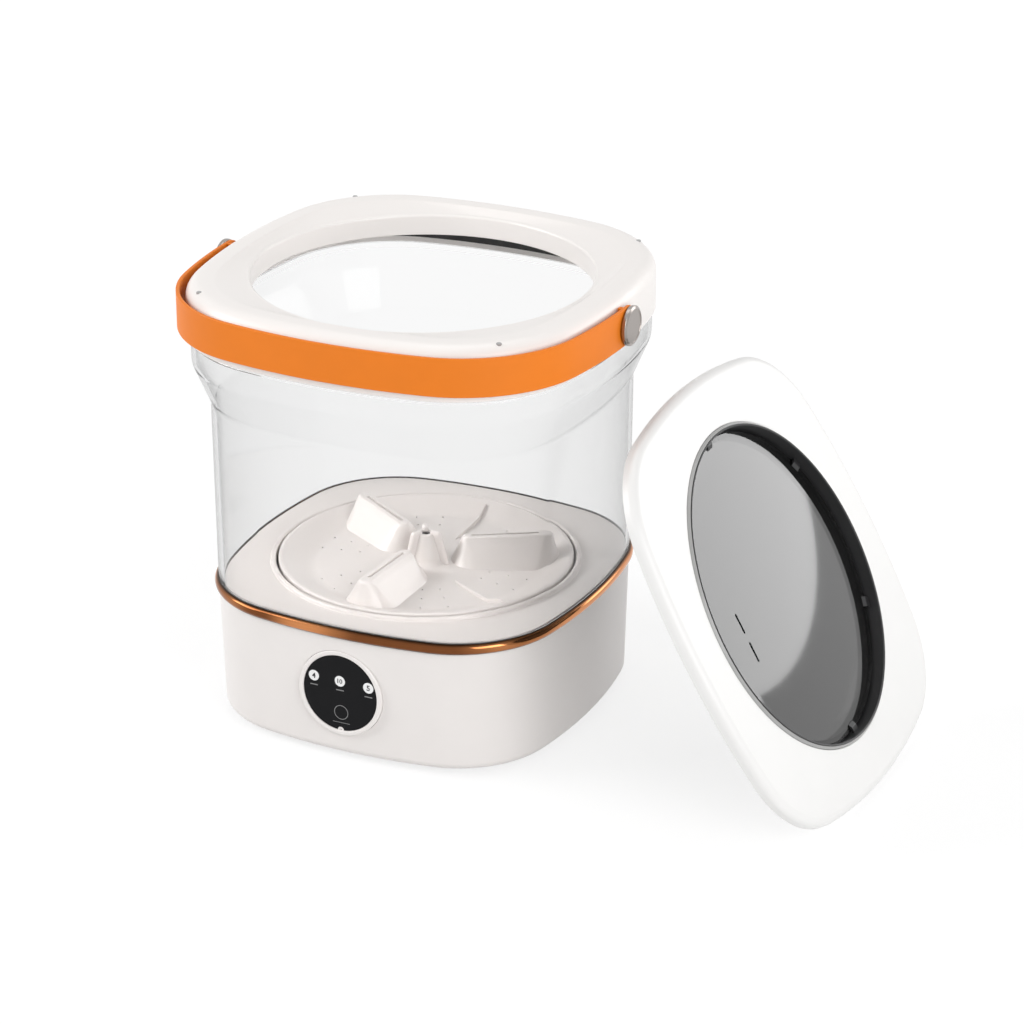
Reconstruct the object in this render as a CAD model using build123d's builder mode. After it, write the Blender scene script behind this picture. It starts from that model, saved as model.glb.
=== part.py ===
from build123d import *
import os
from math import acos, atan2, cos, degrees, hypot, radians, sin, sqrt

os.makedirs("parts", exist_ok=True)

# Mini washing machine, in millimetres: clear tub on a white base, round-mouthed collar, strap and lid.
# +Z is up, the control panel faces -Y and the lid leans at +X. The origin is on the floor, in the middle.

# Plan outline shared by base, trim, tub and collar: a square with bulged sides and round corners
BODY_HALF = 120.0
BODY_CORNER = 68.5
BODY_SIDE = 351.6

# Heights
FOOT_HEIGHT = 3.6
BASE_BOTTOM = 3.4
BASE_TOP = 85.0
FLOOR_TOP = 92.4
SHOULDER_BOTTOM = 213.0
SHOULDER_TOP = 240.0
COLLAR_BOTTOM = 256.4
COLLAR_TOP = 292.8
PIVOT_HEIGHT = 273.6

# Clearances
RUNNING = 0.05
FIT = 0.1
SLIP = 0.2
APART = 0.3

# Base housing
BASE_TOP_GROW = -0.4
BASE_BOTTOM_GROW = -2.6
BASE_WALL = 3.0
BASE_FOOT_FILLET = 6.0
BASE_LIP = 9.0
BASE_LIP_THICK = 4.0
DECK = 3.0
DECK_HOLE_R = 101.0
POST_R = 5.0
POST_PLACE = 76.0
POST_HOLE = 14.0

# Bottom cover, its screws and the rubber ring that the machine stands on
COVER_THICK = 3.2
VENT_LENGTH = 34.0
VENT_WIDTH = 3.0
VENT_PITCH = 9.0
VENT_COUNT = 7
VENT_Y = -66.0
FOOT_INSET = 2.7
FOOT_WIDTH = 7.0
FOOT_GROOVE = 1.4
FOOT_CHAMFER = 0.8
SCREW_R = 1.5
SCREW_HEAD_R = 3.2
SCREW_HEAD = 1.9
SCREW_LENGTH = 13.0

# Bead between base and tub
TRIM_GROW = 2.4
TRIM_ROUND = 3.4

# Tub
TUB_WALL = 3.0
TUB_LIP_GROW = -1.6
TUB_LIP = 2.0
TUB_DRAFT = 1.0
RIM_GROW = 12.2
RIM_LIP_GROW = 10.4
RIM_LIP_WALL = 2.6
RIM_LIP_TOP = 261.4
RIM_SHELF = 3.0
SHOULDER_ROUND_LOW = 5.0
SHOULDER_ROUND_HIGH = 14.0

# Tub floor with the round sump that the pulsator turns in
FLOOR_THICK = 3.0
FLOOR_EDGE = 3.6
SUMP_R = 96.2
SUMP_FLOOR = 80.0
SUMP_WALL = 3.4
SUMP_LIP_TOP = 94.9
SUMP_LIP_ROUND = 1.5
BEARING_BOSS_R = 17.0
BEARING_BOSS_BOTTOM = 40.0
SEAL_COLLAR_R = 14.0
SEAL_COLLAR_TOP = 85.0
GUSSET_COUNT = 6
GUSSET_REACH = 28.0
GUSSET_DROP = 24.0
GUSSET_THICK = 2.0
SEAL_GROOVE = 1.8
SEAL_GROOVE_BOTTOM = 86.4
SEAL_HEIGHT = 2.4

# Collar round the mouth
COLLAR_GROW = 13.4
COLLAR_WALL = 2.4
CREST_ROUND = 15.0
SKIRT_ROUND = 0.8
FUNNEL_GROW = -3.0
MOUTH_R = 107.6
MOUTH_TOP = 287.0
MOUTH_BOTTOM = 278.6
GASKET_TOP = 266.6
SEAT_GROW = 10.0
PLUG_PLACE = 101.6
PLUG_R = 1.7
PLUG_BOTTOM = 284.0
PLUG_TOP = 289.7

# Carrying strap and its pivots
STRAP_HALF_X = 140.0
STRAP_HALF_Y = 137.4
STRAP_CORNER = 83.0
STRAP_SIDE = 375.0
STRAP_THICK = 2.4
STRAP_WIDTH = 24.4
STRAP_ROUND = 0.6
PIN_R = 4.0
PIN_INNER = 119.0
PIN_OUTER = 142.4
PIVOT_BOSS_R = 6.6
PIVOT_BOSS_DEPTH = 7.0
PIVOT_PAD = 0.6
PIVOT_PAD_R = 9.0
CAP_R = 12.6
CAP_INNER = 140.3
CAP_THICK = 3.7
CAP_ROUND = 1.1
WASHER_R = 7.5
NUT_R = 6.4
NUT_THICK = 4.0
STOP_NEAR = 9.2
STOP_FAR = 11.8
STOP_WIDTH = 3.2

# Pulsator
PULSATOR_R = 94.6
PULSATOR_RIM_TOP = 95.4
PULSATOR_RIM_BOTTOM = 87.2
PULSATOR_RIM_WIDTH = 2.4
PULSATOR_FIELD = 88.5
PULSATOR_FIELD_R = 84.6
PULSATOR_RISE = 1.5
PULSATOR_SKIN = 2.4
HUB_TOP = 113.8
HUB_TOP_R = 7.2
HUB_FOOT_R = 12.0
HUB_BOTTOM = 86.2
HUB_RECESS_R = 4.4
HUB_RECESS_FLOOR = 107.0
PADDLE_COUNT = 3
PADDLE_START = 30.0
PADDLE_FOOT = 88.0
PADDLE_INNER_AT = 32.0
PADDLE_OUTER_AT = 70.0
PADDLE_INNER_R = 7.5
PADDLE_OUTER_R = 12.5
PADDLE_CREST_INNER_R = 3.0
PADDLE_CREST_OUTER_R = 4.6
PADDLE_INNER_TOP = 104.0
PADDLE_OUTER_TOP = 108.0
PADDLE_ROUND = 1.6
PADDLE_SLOT_LENGTH = 34.0
PADDLE_SLOT_WIDTH = 1.8
PADDLE_SLOT_DEPTH = 3.0
RIDGE_START = 90.0
RIDGE_FOOT = 87.0
RIDGE_INNER_AT = 50.0
RIDGE_OUTER_AT = 89.0
RIDGE_BOW = 3.5
RIDGE_WIDTH = 2.4
RIDGE_INNER_TOP = 90.2
RIDGE_OUTER_TOP = 96.6
FIN_COUNT = 6
FIN_THICK = 2.2
FIN_FOOT_R = 17.0
FIN_TOP_R = 9.0
FIN_TOP = 110.5
HOLE_R = 0.8
HOLE_RADII = (60.0, 70.0)
HOLE_TURNS = (-31.0, -21.0, 21.0, 31.0)

# Drive shaft, bearings and shaft seal
SHAFT_R = 5.0
SHAFT_TOP = 104.0
SHAFT_BOTTOM = 8.4
SHAFT_END_R = 4.0
SHAFT_CHAMFER = 0.6
BEARING_R = 11.0
BEARING_HEIGHT = 9.0
BEARING_SHOULDER_R = 8.5
BEARING_GROOVE = 0.8
BEARING_GROOVE_INNER = 6.8
BEARING_GROOVE_OUTER = 9.2
UPPER_BEARING_BOTTOM = 66.0
LOWER_BEARING_BOTTOM = 41.0
SHAFT_SEAL_HEIGHT = 9.0
HUB_SCREW_R = 2.0
HUB_SCREW_HEAD_R = 4.0
HUB_SCREW_HEAD = 3.0
HUB_SCREW_LENGTH = 14.0

# Belt drive: the motor stands beside the shaft, with both pulleys under the bracket plate
MOTOR_DISTANCE = 62.0
MOTOR_ANGLE = 135.0
PULLEY_BOTTOM = 13.0
PULLEY_HEIGHT = 10.0
FLANGE_EDGE = 0.8
FLANGE_ROOT = 2.0
DRIVE_SEAT_R = 46.0
DRIVE_FLANGE_R = 48.6
DRIVE_RIM_WALL = 5.0
DRIVE_HUB_R = 9.0
DRIVE_WEB = 3.0
LIGHTENING_COUNT = 6
LIGHTENING_R = 9.0
LIGHTENING_AT = 25.0
MOTOR_SEAT_R = 8.0
MOTOR_FLANGE_R = 10.6
BELT_THICK = 1.8
BELT_HEIGHT = 5.2
PULLEY_NUT_R = 7.0
PULLEY_NUT_HEIGHT = 4.0
MOTOR_R = 21.0
MOTOR_LENGTH = 43.0
MOTOR_ROUND = 2.5
MOTOR_SHAFT_R = 2.5
MOTOR_SHAFT_BOTTOM = 12.0
MOTOR_SHAFT_DEPTH = 8.0
MOTOR_BOSS_R = 6.0
MOTOR_SCREW_AT = 13.0
TERMINAL_SPAN = 16.0
TERMINAL_WIDTH = 4.0
TERMINAL_THICK = 0.8
TERMINAL_HEIGHT = 3.0
BRACKET_BOTTOM = 27.5
BRACKET_THICK = 2.5
BRACKET_MOTOR_R = 25.0
BRACKET_EDGE_R = 8.0
BRACKET_HUB_HOLE = 14.0
STANDOFF_R = 4.0
STANDOFF_NEAR = 34.0
STANDOFF_FAR = 52.0
STANDOFF_TURNS_NEAR = (285.0, 345.0)
STANDOFF_TURNS_FAR = (97.0, 173.0)

# Control panel in the front wall
PANEL_HEIGHT = 47.0
PANEL_R = 25.6
PANEL_THICK = 2.8
PANEL_FACE = 119.4
PANEL_ROUND = 0.5
BEZEL_R = 28.9
BEZEL_PROUD = 0.5
BEZEL_ROUND = 1.0
BEZEL_LEDGE_R = 22.5
BEZEL_LEDGE = 2.0
BEZEL_FLANGE_R = 31.5
BEZEL_FLANGE = 1.6
BEZEL_FLANGE_FRONT = 113.6
NOTCH_R = 2.4
PRY_LENGTH = 1.8
PRY_WIDTH = 0.6
PRY_DEPTH = 1.2
BOARD_R = 25.2
BOARD_THICK = 1.6
BOARD_SCREW_AT = 23.9
BOARD_SCREW_LENGTH = 3.0
SMALL_SCREW_R = 0.8
SMALL_HEAD_R = 1.5
SMALL_HEAD = 1.0
DRIVE_BOARD_X = 75.0
DRIVE_BOARD_WIDTH = 34.0
DRIVE_BOARD_LENGTH = 50.0
BOARD_EDGE = 4.0
BOARD_POST_R = 3.0
BOARD_POST = 8.0
CAPACITOR_R = 5.0
CAPACITOR_HEIGHT = 12.0
CAPACITOR_SPAN = 14.0
CHIP_WIDTH = 10.0
CHIP_LENGTH = 16.0
CHIP_HEIGHT = 2.4

# Power inlet and drain in the back wall
INLET_X = 30.0
INLET_Z = 28.0
INLET_R = 5.6
INLET_FLANGE_R = 7.6
INLET_FLANGE = 1.6
INLET_PAD_R = 10.0
INLET_PAD_FACE = 117.8
INLET_PAD_BACK = 111.0
INLET_BACK = 106.8
INLET_BORE_R = 3.2
INLET_BORE_DEPTH = 9.0
INLET_PIN_R = 1.0
INLET_NUT_R = 8.0
INLET_NUT = 2.4
DRAIN_AT = 84.0
DRAIN_HEIGHT = 60.0
DRAIN_R = 7.0
DRAIN_BORE_R = 5.0
DRAIN_BEND = 12.0
DRAIN_END = 129.0
DRAIN_FLANGE_R = 10.0
DRAIN_FLANGE = 2.0
PLUG_STEM = 8.0
PLUG_HEAD_R = 8.0
PLUG_HEAD = 3.6

# Lid, leaning at +X with its outer face up
LID_HALF = 137.0
LID_CORNER = 66.0
LID_SIDE = 401.0
LID_THICK = 9.0
LID_ROUND = 4.6
LID_WALL = 2.4
LID_LEAN = 60.0
LID_CENTRE_X = 250.7
LID_CENTRE_Y = -2.4
LID_BORE_R = 105.2
LID_RING_WALL = 2.2
LINER_THICK = 2.0
SKIRT_WALL = 1.6
SKIRT_DEPTH = 17.5
LID_BOSS_R = 3.2
LID_BOSS_BOTTOM = 5.5
LID_BOSS_AT = 118.0
LID_BOSS_COUNT = 8
LINER_CUP_R = 4.6
LID_SCREW_R = 1.3
LID_HEAD_R = 2.8
LID_HEAD = 1.6
LID_SCREW_TOP = 3.4
RING_TOP = 0.7
RING_BOTTOM = 17.0
RING_WALL = 2.1
GLASS_R = 102.8
GLASS_EDGE_TOP = 11.0
GLASS_THICK = 3.0
GLASS_DOME = 2.4
GLASS_FLAT_R = 97.0
LEDGE_R = 99.4
CLIP_COUNT = 6
CLIP_START = 31.0
CLIP_WIDTH = 6.5
CLIP_REACH_R = 100.6
CLIP_TOP = 9.4
SLIT_LENGTH = 14.0
SLIT_WIDTH = 1.8
SLIT_ACROSS = -53.8
SLIT_ALONG = (0.2, -19.0)
LID_SEAL_R = 107.2
LID_SEAL_WIDTH = 3.6
LID_SEAL_HEIGHT = 2.0

# Sizes that follow from the ones above
BODY = (BODY_HALF, BODY_HALF, BODY_SIDE, BODY_CORNER)
STRAP = (STRAP_HALF_X, STRAP_HALF_Y, STRAP_SIDE, STRAP_CORNER)
LID = (LID_HALF, LID_HALF, LID_SIDE, LID_CORNER)
COVER_TOP = FOOT_HEIGHT + COVER_THICK
COVER_GROW = BASE_BOTTOM_GROW - BASE_LIP - APART
FOOT_GROW = COVER_GROW - FOOT_INSET
LIP_TOP = BASE_BOTTOM + BASE_LIP_THICK
DECK_BOTTOM = BASE_TOP - DECK
TUB_LIP_INNER = TUB_LIP_GROW - TUB_LIP
TUB_INNER = TUB_DRAFT - TUB_WALL
RIM_INNER = RIM_GROW - TUB_WALL
RIM_LIP_INNER = RIM_LIP_GROW - RIM_LIP_WALL
SHELF_BOTTOM = COLLAR_BOTTOM - RIM_SHELF
FLOOR_BOTTOM = FLOOR_TOP - FLOOR_THICK
FLOOR_GROW = TUB_LIP_INNER - SLIP
SUMP_BOTTOM = SUMP_FLOOR - FLOOR_THICK
BEARING_BORE_R = BEARING_R + FIT
SHAFT_BORE_R = SHAFT_R + RUNNING
SEAL_BOTTOM = UPPER_BEARING_BOTTOM + BEARING_HEIGHT
LOWER_BEARING_TOP = LOWER_BEARING_BOTTOM + BEARING_HEIGHT
SKIRT_BOTTOM = COLLAR_BOTTOM + SLIP
SKIRT_GROW = COLLAR_GROW - COLLAR_WALL
CREST_BOTTOM = COLLAR_TOP - COLLAR_WALL
FUNNEL_BOTTOM = MOUTH_TOP - COLLAR_WALL
MOUTH_WALL_R = MOUTH_R + COLLAR_WALL
PAD_FACE = BODY_HALF + COLLAR_GROW + PIVOT_PAD
BOSS_FACE = BODY_HALF + SKIRT_GROW - PIVOT_BOSS_DEPTH
STRAP_INNER_X = STRAP_HALF_X - STRAP_THICK
PIN_BORE_R = PIN_R + RUNNING
KEY_FACE = STRAP_INNER_X - 1.0
STUB_FACE = PAD_FACE + PIVOT_PAD
STOP_MIDDLE = (STOP_NEAR + STOP_FAR) / 2
PULLEY_TOP = PULLEY_BOTTOM + PULLEY_HEIGHT
BELT_BOTTOM = PULLEY_BOTTOM + (PULLEY_HEIGHT - BELT_HEIGHT) / 2
BRACKET_TOP = BRACKET_BOTTOM + BRACKET_THICK
SHORT_SCREW = SCREW_LENGTH - FOOT_GROOVE
PANEL_BACK = PANEL_FACE - PANEL_THICK
BEZEL_FACE = PANEL_FACE + BEZEL_PROUD
BEZEL_BORE_R = PANEL_R + FIT
LEDGE_BACK = PANEL_BACK - BEZEL_LEDGE
BEZEL_BACK = BEZEL_FLANGE_FRONT - BEZEL_FLANGE
BOARD_BOTTOM = COVER_TOP + BOARD_POST
BOARD_TOP = BOARD_BOTTOM + BOARD_THICK
LINER_TOP = LID_THICK - LINER_THICK
LID_CENTRE_Z = LID_HALF * sin(radians(LID_LEAN)) + LID_THICK * cos(radians(LID_LEAN))
GLASS_EDGE_BOTTOM = GLASS_EDGE_TOP + GLASS_THICK

# Directions that pieces are placed along
UP = (Align.CENTER, Align.CENTER, Align.MIN)
DOWN = (Align.CENTER, Align.CENTER, Align.MAX)
FRONT = Plane(origin=(0, 0, PANEL_HEIGHT), x_dir=(1, 0, 0), z_dir=(0, -1, 0))
BACK = Plane(origin=(0, 0, 0), x_dir=(-1, 0, 0), z_dir=(0, 1, 0))
LID_PLANE = Plane(
    origin=(LID_CENTRE_X, LID_CENTRE_Y, LID_CENTRE_Z),
    x_dir=(0, 1, 0),
    z_dir=(sin(radians(LID_LEAN)), 0, cos(radians(LID_LEAN))),
)
LID_AXIS = Axis(LID_PLANE.origin, LID_PLANE.z_dir)
FRONT_AXIS = Axis(FRONT.origin, FRONT.z_dir)
DRIVE_DIRECTION = (cos(radians(MOTOR_ANGLE)), sin(radians(MOTOR_ANGLE)), 0)


def arc(centre, radius, start, end):
    """Arc in the sketch plane, counter-clockwise between two directions in degrees."""
    return Edge.make_circle(radius, Plane((centre[0], centre[1], 0)), start, end)


def polygon(*points):
    """Edges of a closed polygon through the points."""
    return Wire.make_polygon(points, close=True).edges()


def rectangle(left, bottom, right, top):
    """Edges of an upright rectangle between two corners."""
    return polygon((left, bottom), (right, bottom), (right, top), (left, top))


def corner_place(shape):
    """Centre of the corner arc, and the directions in which it meets the two bulged sides."""
    half_x, half_y, side, corner = shape
    drop_x = side - half_x
    drop_y = side - half_y
    apart = hypot(drop_x, drop_y)
    rise = sqrt((side - corner) ** 2 - (apart / 2) ** 2)
    x = rise * drop_y / apart - drop_x / 2
    y = rise * drop_x / apart - drop_y / 2
    return x, y, degrees(atan2(y, x + drop_x)), degrees(atan2(y + drop_y, x))


def outline(shape, grow=0.0):
    """Edges of a square with bulged sides and round corners, widened all round by grow."""
    half_x, half_y, side, corner = shape
    x, y, low, high = corner_place(shape)
    return [
        arc((half_x - side, 0), side + grow, -low, low),
        arc((x, y), corner + grow, low, high),
        arc((0, half_y - side), side + grow, high, 180 - high),
        arc((-x, y), corner + grow, 180 - high, 180 - low),
        arc((side - half_x, 0), side + grow, 180 - low, 180 + low),
        arc((-x, -y), corner + grow, 180 + low, 180 + high),
        arc((0, side - half_y), side + grow, 180 + high, 360 - high),
        arc((x, -y), corner + grow, 360 - high, 360 - low),
    ]


def round_outline(shape, radius):
    """Edges of a circle broken in the same directions as the outline."""
    low, high = corner_place(shape)[2:]
    stops = [-low, low, high, 180 - high, 180 - low, 180 + low, 180 + high, 360 - high, 360 - low]
    return [arc((0, 0), radius, start, end) for start, end in zip(stops, stops[1:])]


def teardrop(first_r, last_at, last_r, first_at=0.0):
    """Edges of the hull of two circles on the sketch's X axis."""
    turn = acos((first_r - last_r) / (last_at - first_at))
    across, along = sin(turn), cos(turn)
    first = (first_at + first_r * along, first_r * across)
    last = (last_at + last_r * along, last_r * across)
    return [
        arc((last_at, 0), last_r, -degrees(turn), degrees(turn)),
        Edge.make_line(last, first),
        arc((first_at, 0), first_r, degrees(turn), 360 - degrees(turn)),
        Edge.make_line((first[0], -first[1]), (last[0], -last[1])),
    ]


def radial(angle, base=Plane.XY):
    """Plane through the middle of base and square to it, with local X out at an angle in degrees."""
    turn = radians(angle)
    x_dir = base.x_dir * cos(turn) + base.y_dir * sin(turn)
    z_dir = base.x_dir * sin(turn) - base.y_dir * cos(turn)
    return Plane(origin=base.origin, x_dir=x_dir, z_dir=z_dir)


def pivots(distance):
    """Both strap pivots at a distance from the middle, with local Z pointing outward."""
    return [
        Plane(origin=(side * distance, 0, PIVOT_HEIGHT), x_dir=(0, 1, 1), z_dir=(side, 0, 0)).location
        for side in (-1, 1)
    ]


def around(radius, turns, height):
    """Points at a radius from the shaft axis, in directions in degrees."""
    return [(radius * cos(radians(turn)), radius * sin(radians(turn)), height) for turn in turns]


def corners(place, height):
    """Four points on the diagonals of the plan."""
    return [(x, y, height) for x in (-place, place) for y in (-place, place)]


def evenly(start, count):
    """Directions in degrees spaced evenly round the circle."""
    return [start + 360 * step / count for step in range(count)]


def standoffs(height):
    """Places of the four bosses that carry the drive bracket."""
    near = around(STANDOFF_NEAR, STANDOFF_TURNS_NEAR, height)
    return near + around(STANDOFF_FAR, STANDOFF_TURNS_FAR, height)


def motor_at(height):
    """Place of the motor axis."""
    return around(MOTOR_DISTANCE, [MOTOR_ANGLE], height)[0]


def motor_screws_at(height):
    """Places of the two screws that hold the motor, on the line square to the belt."""
    x, y, z = motor_at(height)
    return [(x + side * y * MOTOR_SCREW_AT / MOTOR_DISTANCE,
             y - side * x * MOTOR_SCREW_AT / MOTOR_DISTANCE, z) for side in (-1, 1)]


# Base housing: tapered shell with a deck on top and a return lip underneath
with BuildPart() as base_housing:
    with BuildSketch(Plane.XY.offset(BASE_BOTTOM)):
        make_face(outline(BODY, BASE_BOTTOM_GROW))
    with BuildSketch(Plane.XY.offset(BASE_TOP)):
        make_face(outline(BODY, BASE_TOP_GROW))
    loft(ruled=True)
    fillet(base_housing.faces().sort_by(Axis.Z)[0].edges(), BASE_FOOT_FILLET)
    with BuildSketch(Plane.XY.offset(LIP_TOP)):
        make_face(outline(BODY, BASE_BOTTOM_GROW - BASE_WALL))
    with BuildSketch(Plane.XY.offset(DECK_BOTTOM)):
        make_face(outline(BODY, BASE_TOP_GROW - BASE_WALL))
    loft(ruled=True, mode=Mode.SUBTRACT)
    with BuildSketch(Plane.XY.offset(BASE_BOTTOM)):
        make_face(outline(BODY, BASE_BOTTOM_GROW - BASE_LIP))
    extrude(amount=BASE_LIP_THICK, mode=Mode.SUBTRACT)
    with Locations((0, 0, DECK_BOTTOM)):
        Cylinder(DECK_HOLE_R, DECK, align=UP, mode=Mode.SUBTRACT)
    with Locations(corners(POST_PLACE, COVER_TOP)):
        Cylinder(POST_R, DECK_BOTTOM - COVER_TOP, align=UP)
        Cylinder(SCREW_R, POST_HOLE, align=UP, mode=Mode.SUBTRACT)
    with BuildSketch(FRONT.offset(BEZEL_FLANGE_FRONT)):
        Circle(BEZEL_R + SLIP)
    extrude(amount=BODY_HALF - BEZEL_FLANGE_FRONT, mode=Mode.SUBTRACT)
    with BuildSketch(BACK.offset(INLET_PAD_BACK)):
        with Locations((-INLET_X, INLET_Z)):
            Circle(INLET_PAD_R)
    extrude(amount=INLET_PAD_FACE - INLET_PAD_BACK)
    with BuildSketch(BACK.offset(INLET_PAD_BACK)):
        with Locations((-INLET_X, INLET_Z)):
            Circle(INLET_R + FIT)
        with Locations((0, DRAIN_HEIGHT)):
            Circle(DRAIN_R + SLIP)
    extrude(amount=BODY_HALF - INLET_PAD_BACK, mode=Mode.SUBTRACT)

# Bottom cover, let into the return lip and screwed to the posts, with vents and board posts
with BuildPart() as bottom_cover:
    with BuildSketch(Plane.XY.offset(FOOT_HEIGHT)):
        make_face(outline(BODY, COVER_GROW))
        with Locations((0, VENT_Y)):
            with GridLocations(VENT_PITCH, 0, VENT_COUNT, 1):
                SlotOverall(VENT_LENGTH, VENT_WIDTH, rotation=90, mode=Mode.SUBTRACT)
    extrude(amount=COVER_THICK)
    with BuildSketch(Plane.XY.offset(FOOT_HEIGHT)):
        make_face(outline(BODY, FOOT_GROW + FIT))
        make_face(outline(BODY, FOOT_GROW - FOOT_WIDTH - FIT), mode=Mode.SUBTRACT)
    extrude(amount=FOOT_GROOVE, mode=Mode.SUBTRACT)
    with Locations(corners(POST_PLACE, FOOT_HEIGHT)):
        Cylinder(SCREW_R + SLIP, COVER_THICK, align=UP, mode=Mode.SUBTRACT)
        Cylinder(SCREW_HEAD_R + SLIP, SCREW_HEAD, align=UP, mode=Mode.SUBTRACT)
    with Locations((DRIVE_BOARD_X, 0, COVER_TOP)):
        with GridLocations(DRIVE_BOARD_WIDTH - 2 * BOARD_EDGE, DRIVE_BOARD_LENGTH - 2 * BOARD_EDGE, 2, 2):
            Cylinder(BOARD_POST_R, BOARD_POST, align=UP)
            Cylinder(SMALL_SCREW_R, BOARD_POST, align=UP, mode=Mode.SUBTRACT)

# Screws of the bottom cover
with BuildPart() as cover_screws:
    with Locations(corners(POST_PLACE, FOOT_HEIGHT)):
        Cylinder(SCREW_HEAD_R, SCREW_HEAD, align=UP)
        Cylinder(SCREW_R - FIT, SCREW_LENGTH, align=UP)

# Rubber ring in a groove of the cover, on which the machine stands
with BuildPart() as foot_ring:
    with BuildSketch():
        make_face(outline(BODY, FOOT_GROW))
        make_face(outline(BODY, FOOT_GROW - FOOT_WIDTH), mode=Mode.SUBTRACT)
    extrude(amount=FOOT_HEIGHT + FOOT_GROOVE)
    chamfer(foot_ring.faces().sort_by(Axis.Z)[0].edges(), FOOT_CHAMFER)

# Bead that covers the joint between base and tub
with BuildPart() as trim_ring:
    with BuildSketch(Plane.XY.offset(BASE_TOP)):
        make_face(outline(BODY, TRIM_GROW))
        make_face(outline(BODY, TUB_LIP_GROW + FIT), mode=Mode.SUBTRACT)
    extrude(amount=FLOOR_TOP - BASE_TOP)
    rims = trim_ring.faces().filter_by(Plane.XY)
    fillet([edge for rim in rims for edge in rim.outer_wire().edges()], TRIM_ROUND)

# Space inside the tub, with the same rounds as the outside less the wall
with BuildPart() as tub_space:
    with BuildSketch(Plane.XY.offset(BASE_TOP)):
        make_face(outline(BODY, TUB_LIP_INNER))
    with BuildSketch(Plane.XY.offset(SHOULDER_BOTTOM)):
        make_face(outline(BODY, TUB_INNER))
    loft(ruled=True)
    with BuildSketch(Plane.XY.offset(SHOULDER_BOTTOM)):
        make_face(outline(BODY, TUB_INNER))
    with BuildSketch(Plane.XY.offset(SHOULDER_TOP)):
        make_face(outline(BODY, RIM_INNER))
    loft(ruled=True)
    with BuildSketch(Plane.XY.offset(SHOULDER_TOP)):
        make_face(outline(BODY, RIM_INNER))
    extrude(amount=SHELF_BOTTOM - SHOULDER_TOP)
    bends = tub_space.edges().filter_by_position(Axis.Z, SHOULDER_BOTTOM, SHOULDER_BOTTOM)
    fillet(bends, SHOULDER_ROUND_LOW + TUB_WALL)
    bends = tub_space.edges().filter_by_position(Axis.Z, SHOULDER_TOP, SHOULDER_TOP)
    fillet(bends, SHOULDER_ROUND_HIGH - TUB_WALL)
    with BuildSketch(Plane.XY.offset(SHELF_BOTTOM)):
        make_face(outline(BODY, RIM_LIP_INNER))
    extrude(amount=RIM_LIP_TOP - SHELF_BOTTOM)

# Clear tub: lip inside the bead, slightly flared wall, shoulder, upright band and upper lip
with BuildPart() as tub:
    with BuildSketch(Plane.XY.offset(FLOOR_TOP)):
        make_face(outline(BODY))
    with BuildSketch(Plane.XY.offset(SHOULDER_BOTTOM)):
        make_face(outline(BODY, TUB_DRAFT))
    loft(ruled=True)
    with BuildSketch(Plane.XY.offset(SHOULDER_BOTTOM)):
        make_face(outline(BODY, TUB_DRAFT))
    with BuildSketch(Plane.XY.offset(SHOULDER_TOP)):
        make_face(outline(BODY, RIM_GROW))
    loft(ruled=True)
    with BuildSketch(Plane.XY.offset(SHOULDER_TOP)):
        make_face(outline(BODY, RIM_GROW))
    extrude(amount=COLLAR_BOTTOM - SHOULDER_TOP)
    bends = tub.edges().filter_by_position(Axis.Z, SHOULDER_BOTTOM, SHOULDER_BOTTOM)
    fillet(bends, SHOULDER_ROUND_LOW)
    bends = tub.edges().filter_by_position(Axis.Z, SHOULDER_TOP, SHOULDER_TOP)
    fillet(bends, SHOULDER_ROUND_HIGH)
    with BuildSketch(Plane.XY.offset(BASE_TOP)):
        make_face(outline(BODY, TUB_LIP_GROW))
    extrude(amount=FLOOR_TOP - BASE_TOP)
    with BuildSketch(Plane.XY.offset(COLLAR_BOTTOM)):
        make_face(outline(BODY, RIM_LIP_GROW))
    extrude(amount=RIM_LIP_TOP - COLLAR_BOTTOM)
    add(tub_space.part, mode=Mode.SUBTRACT)

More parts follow.
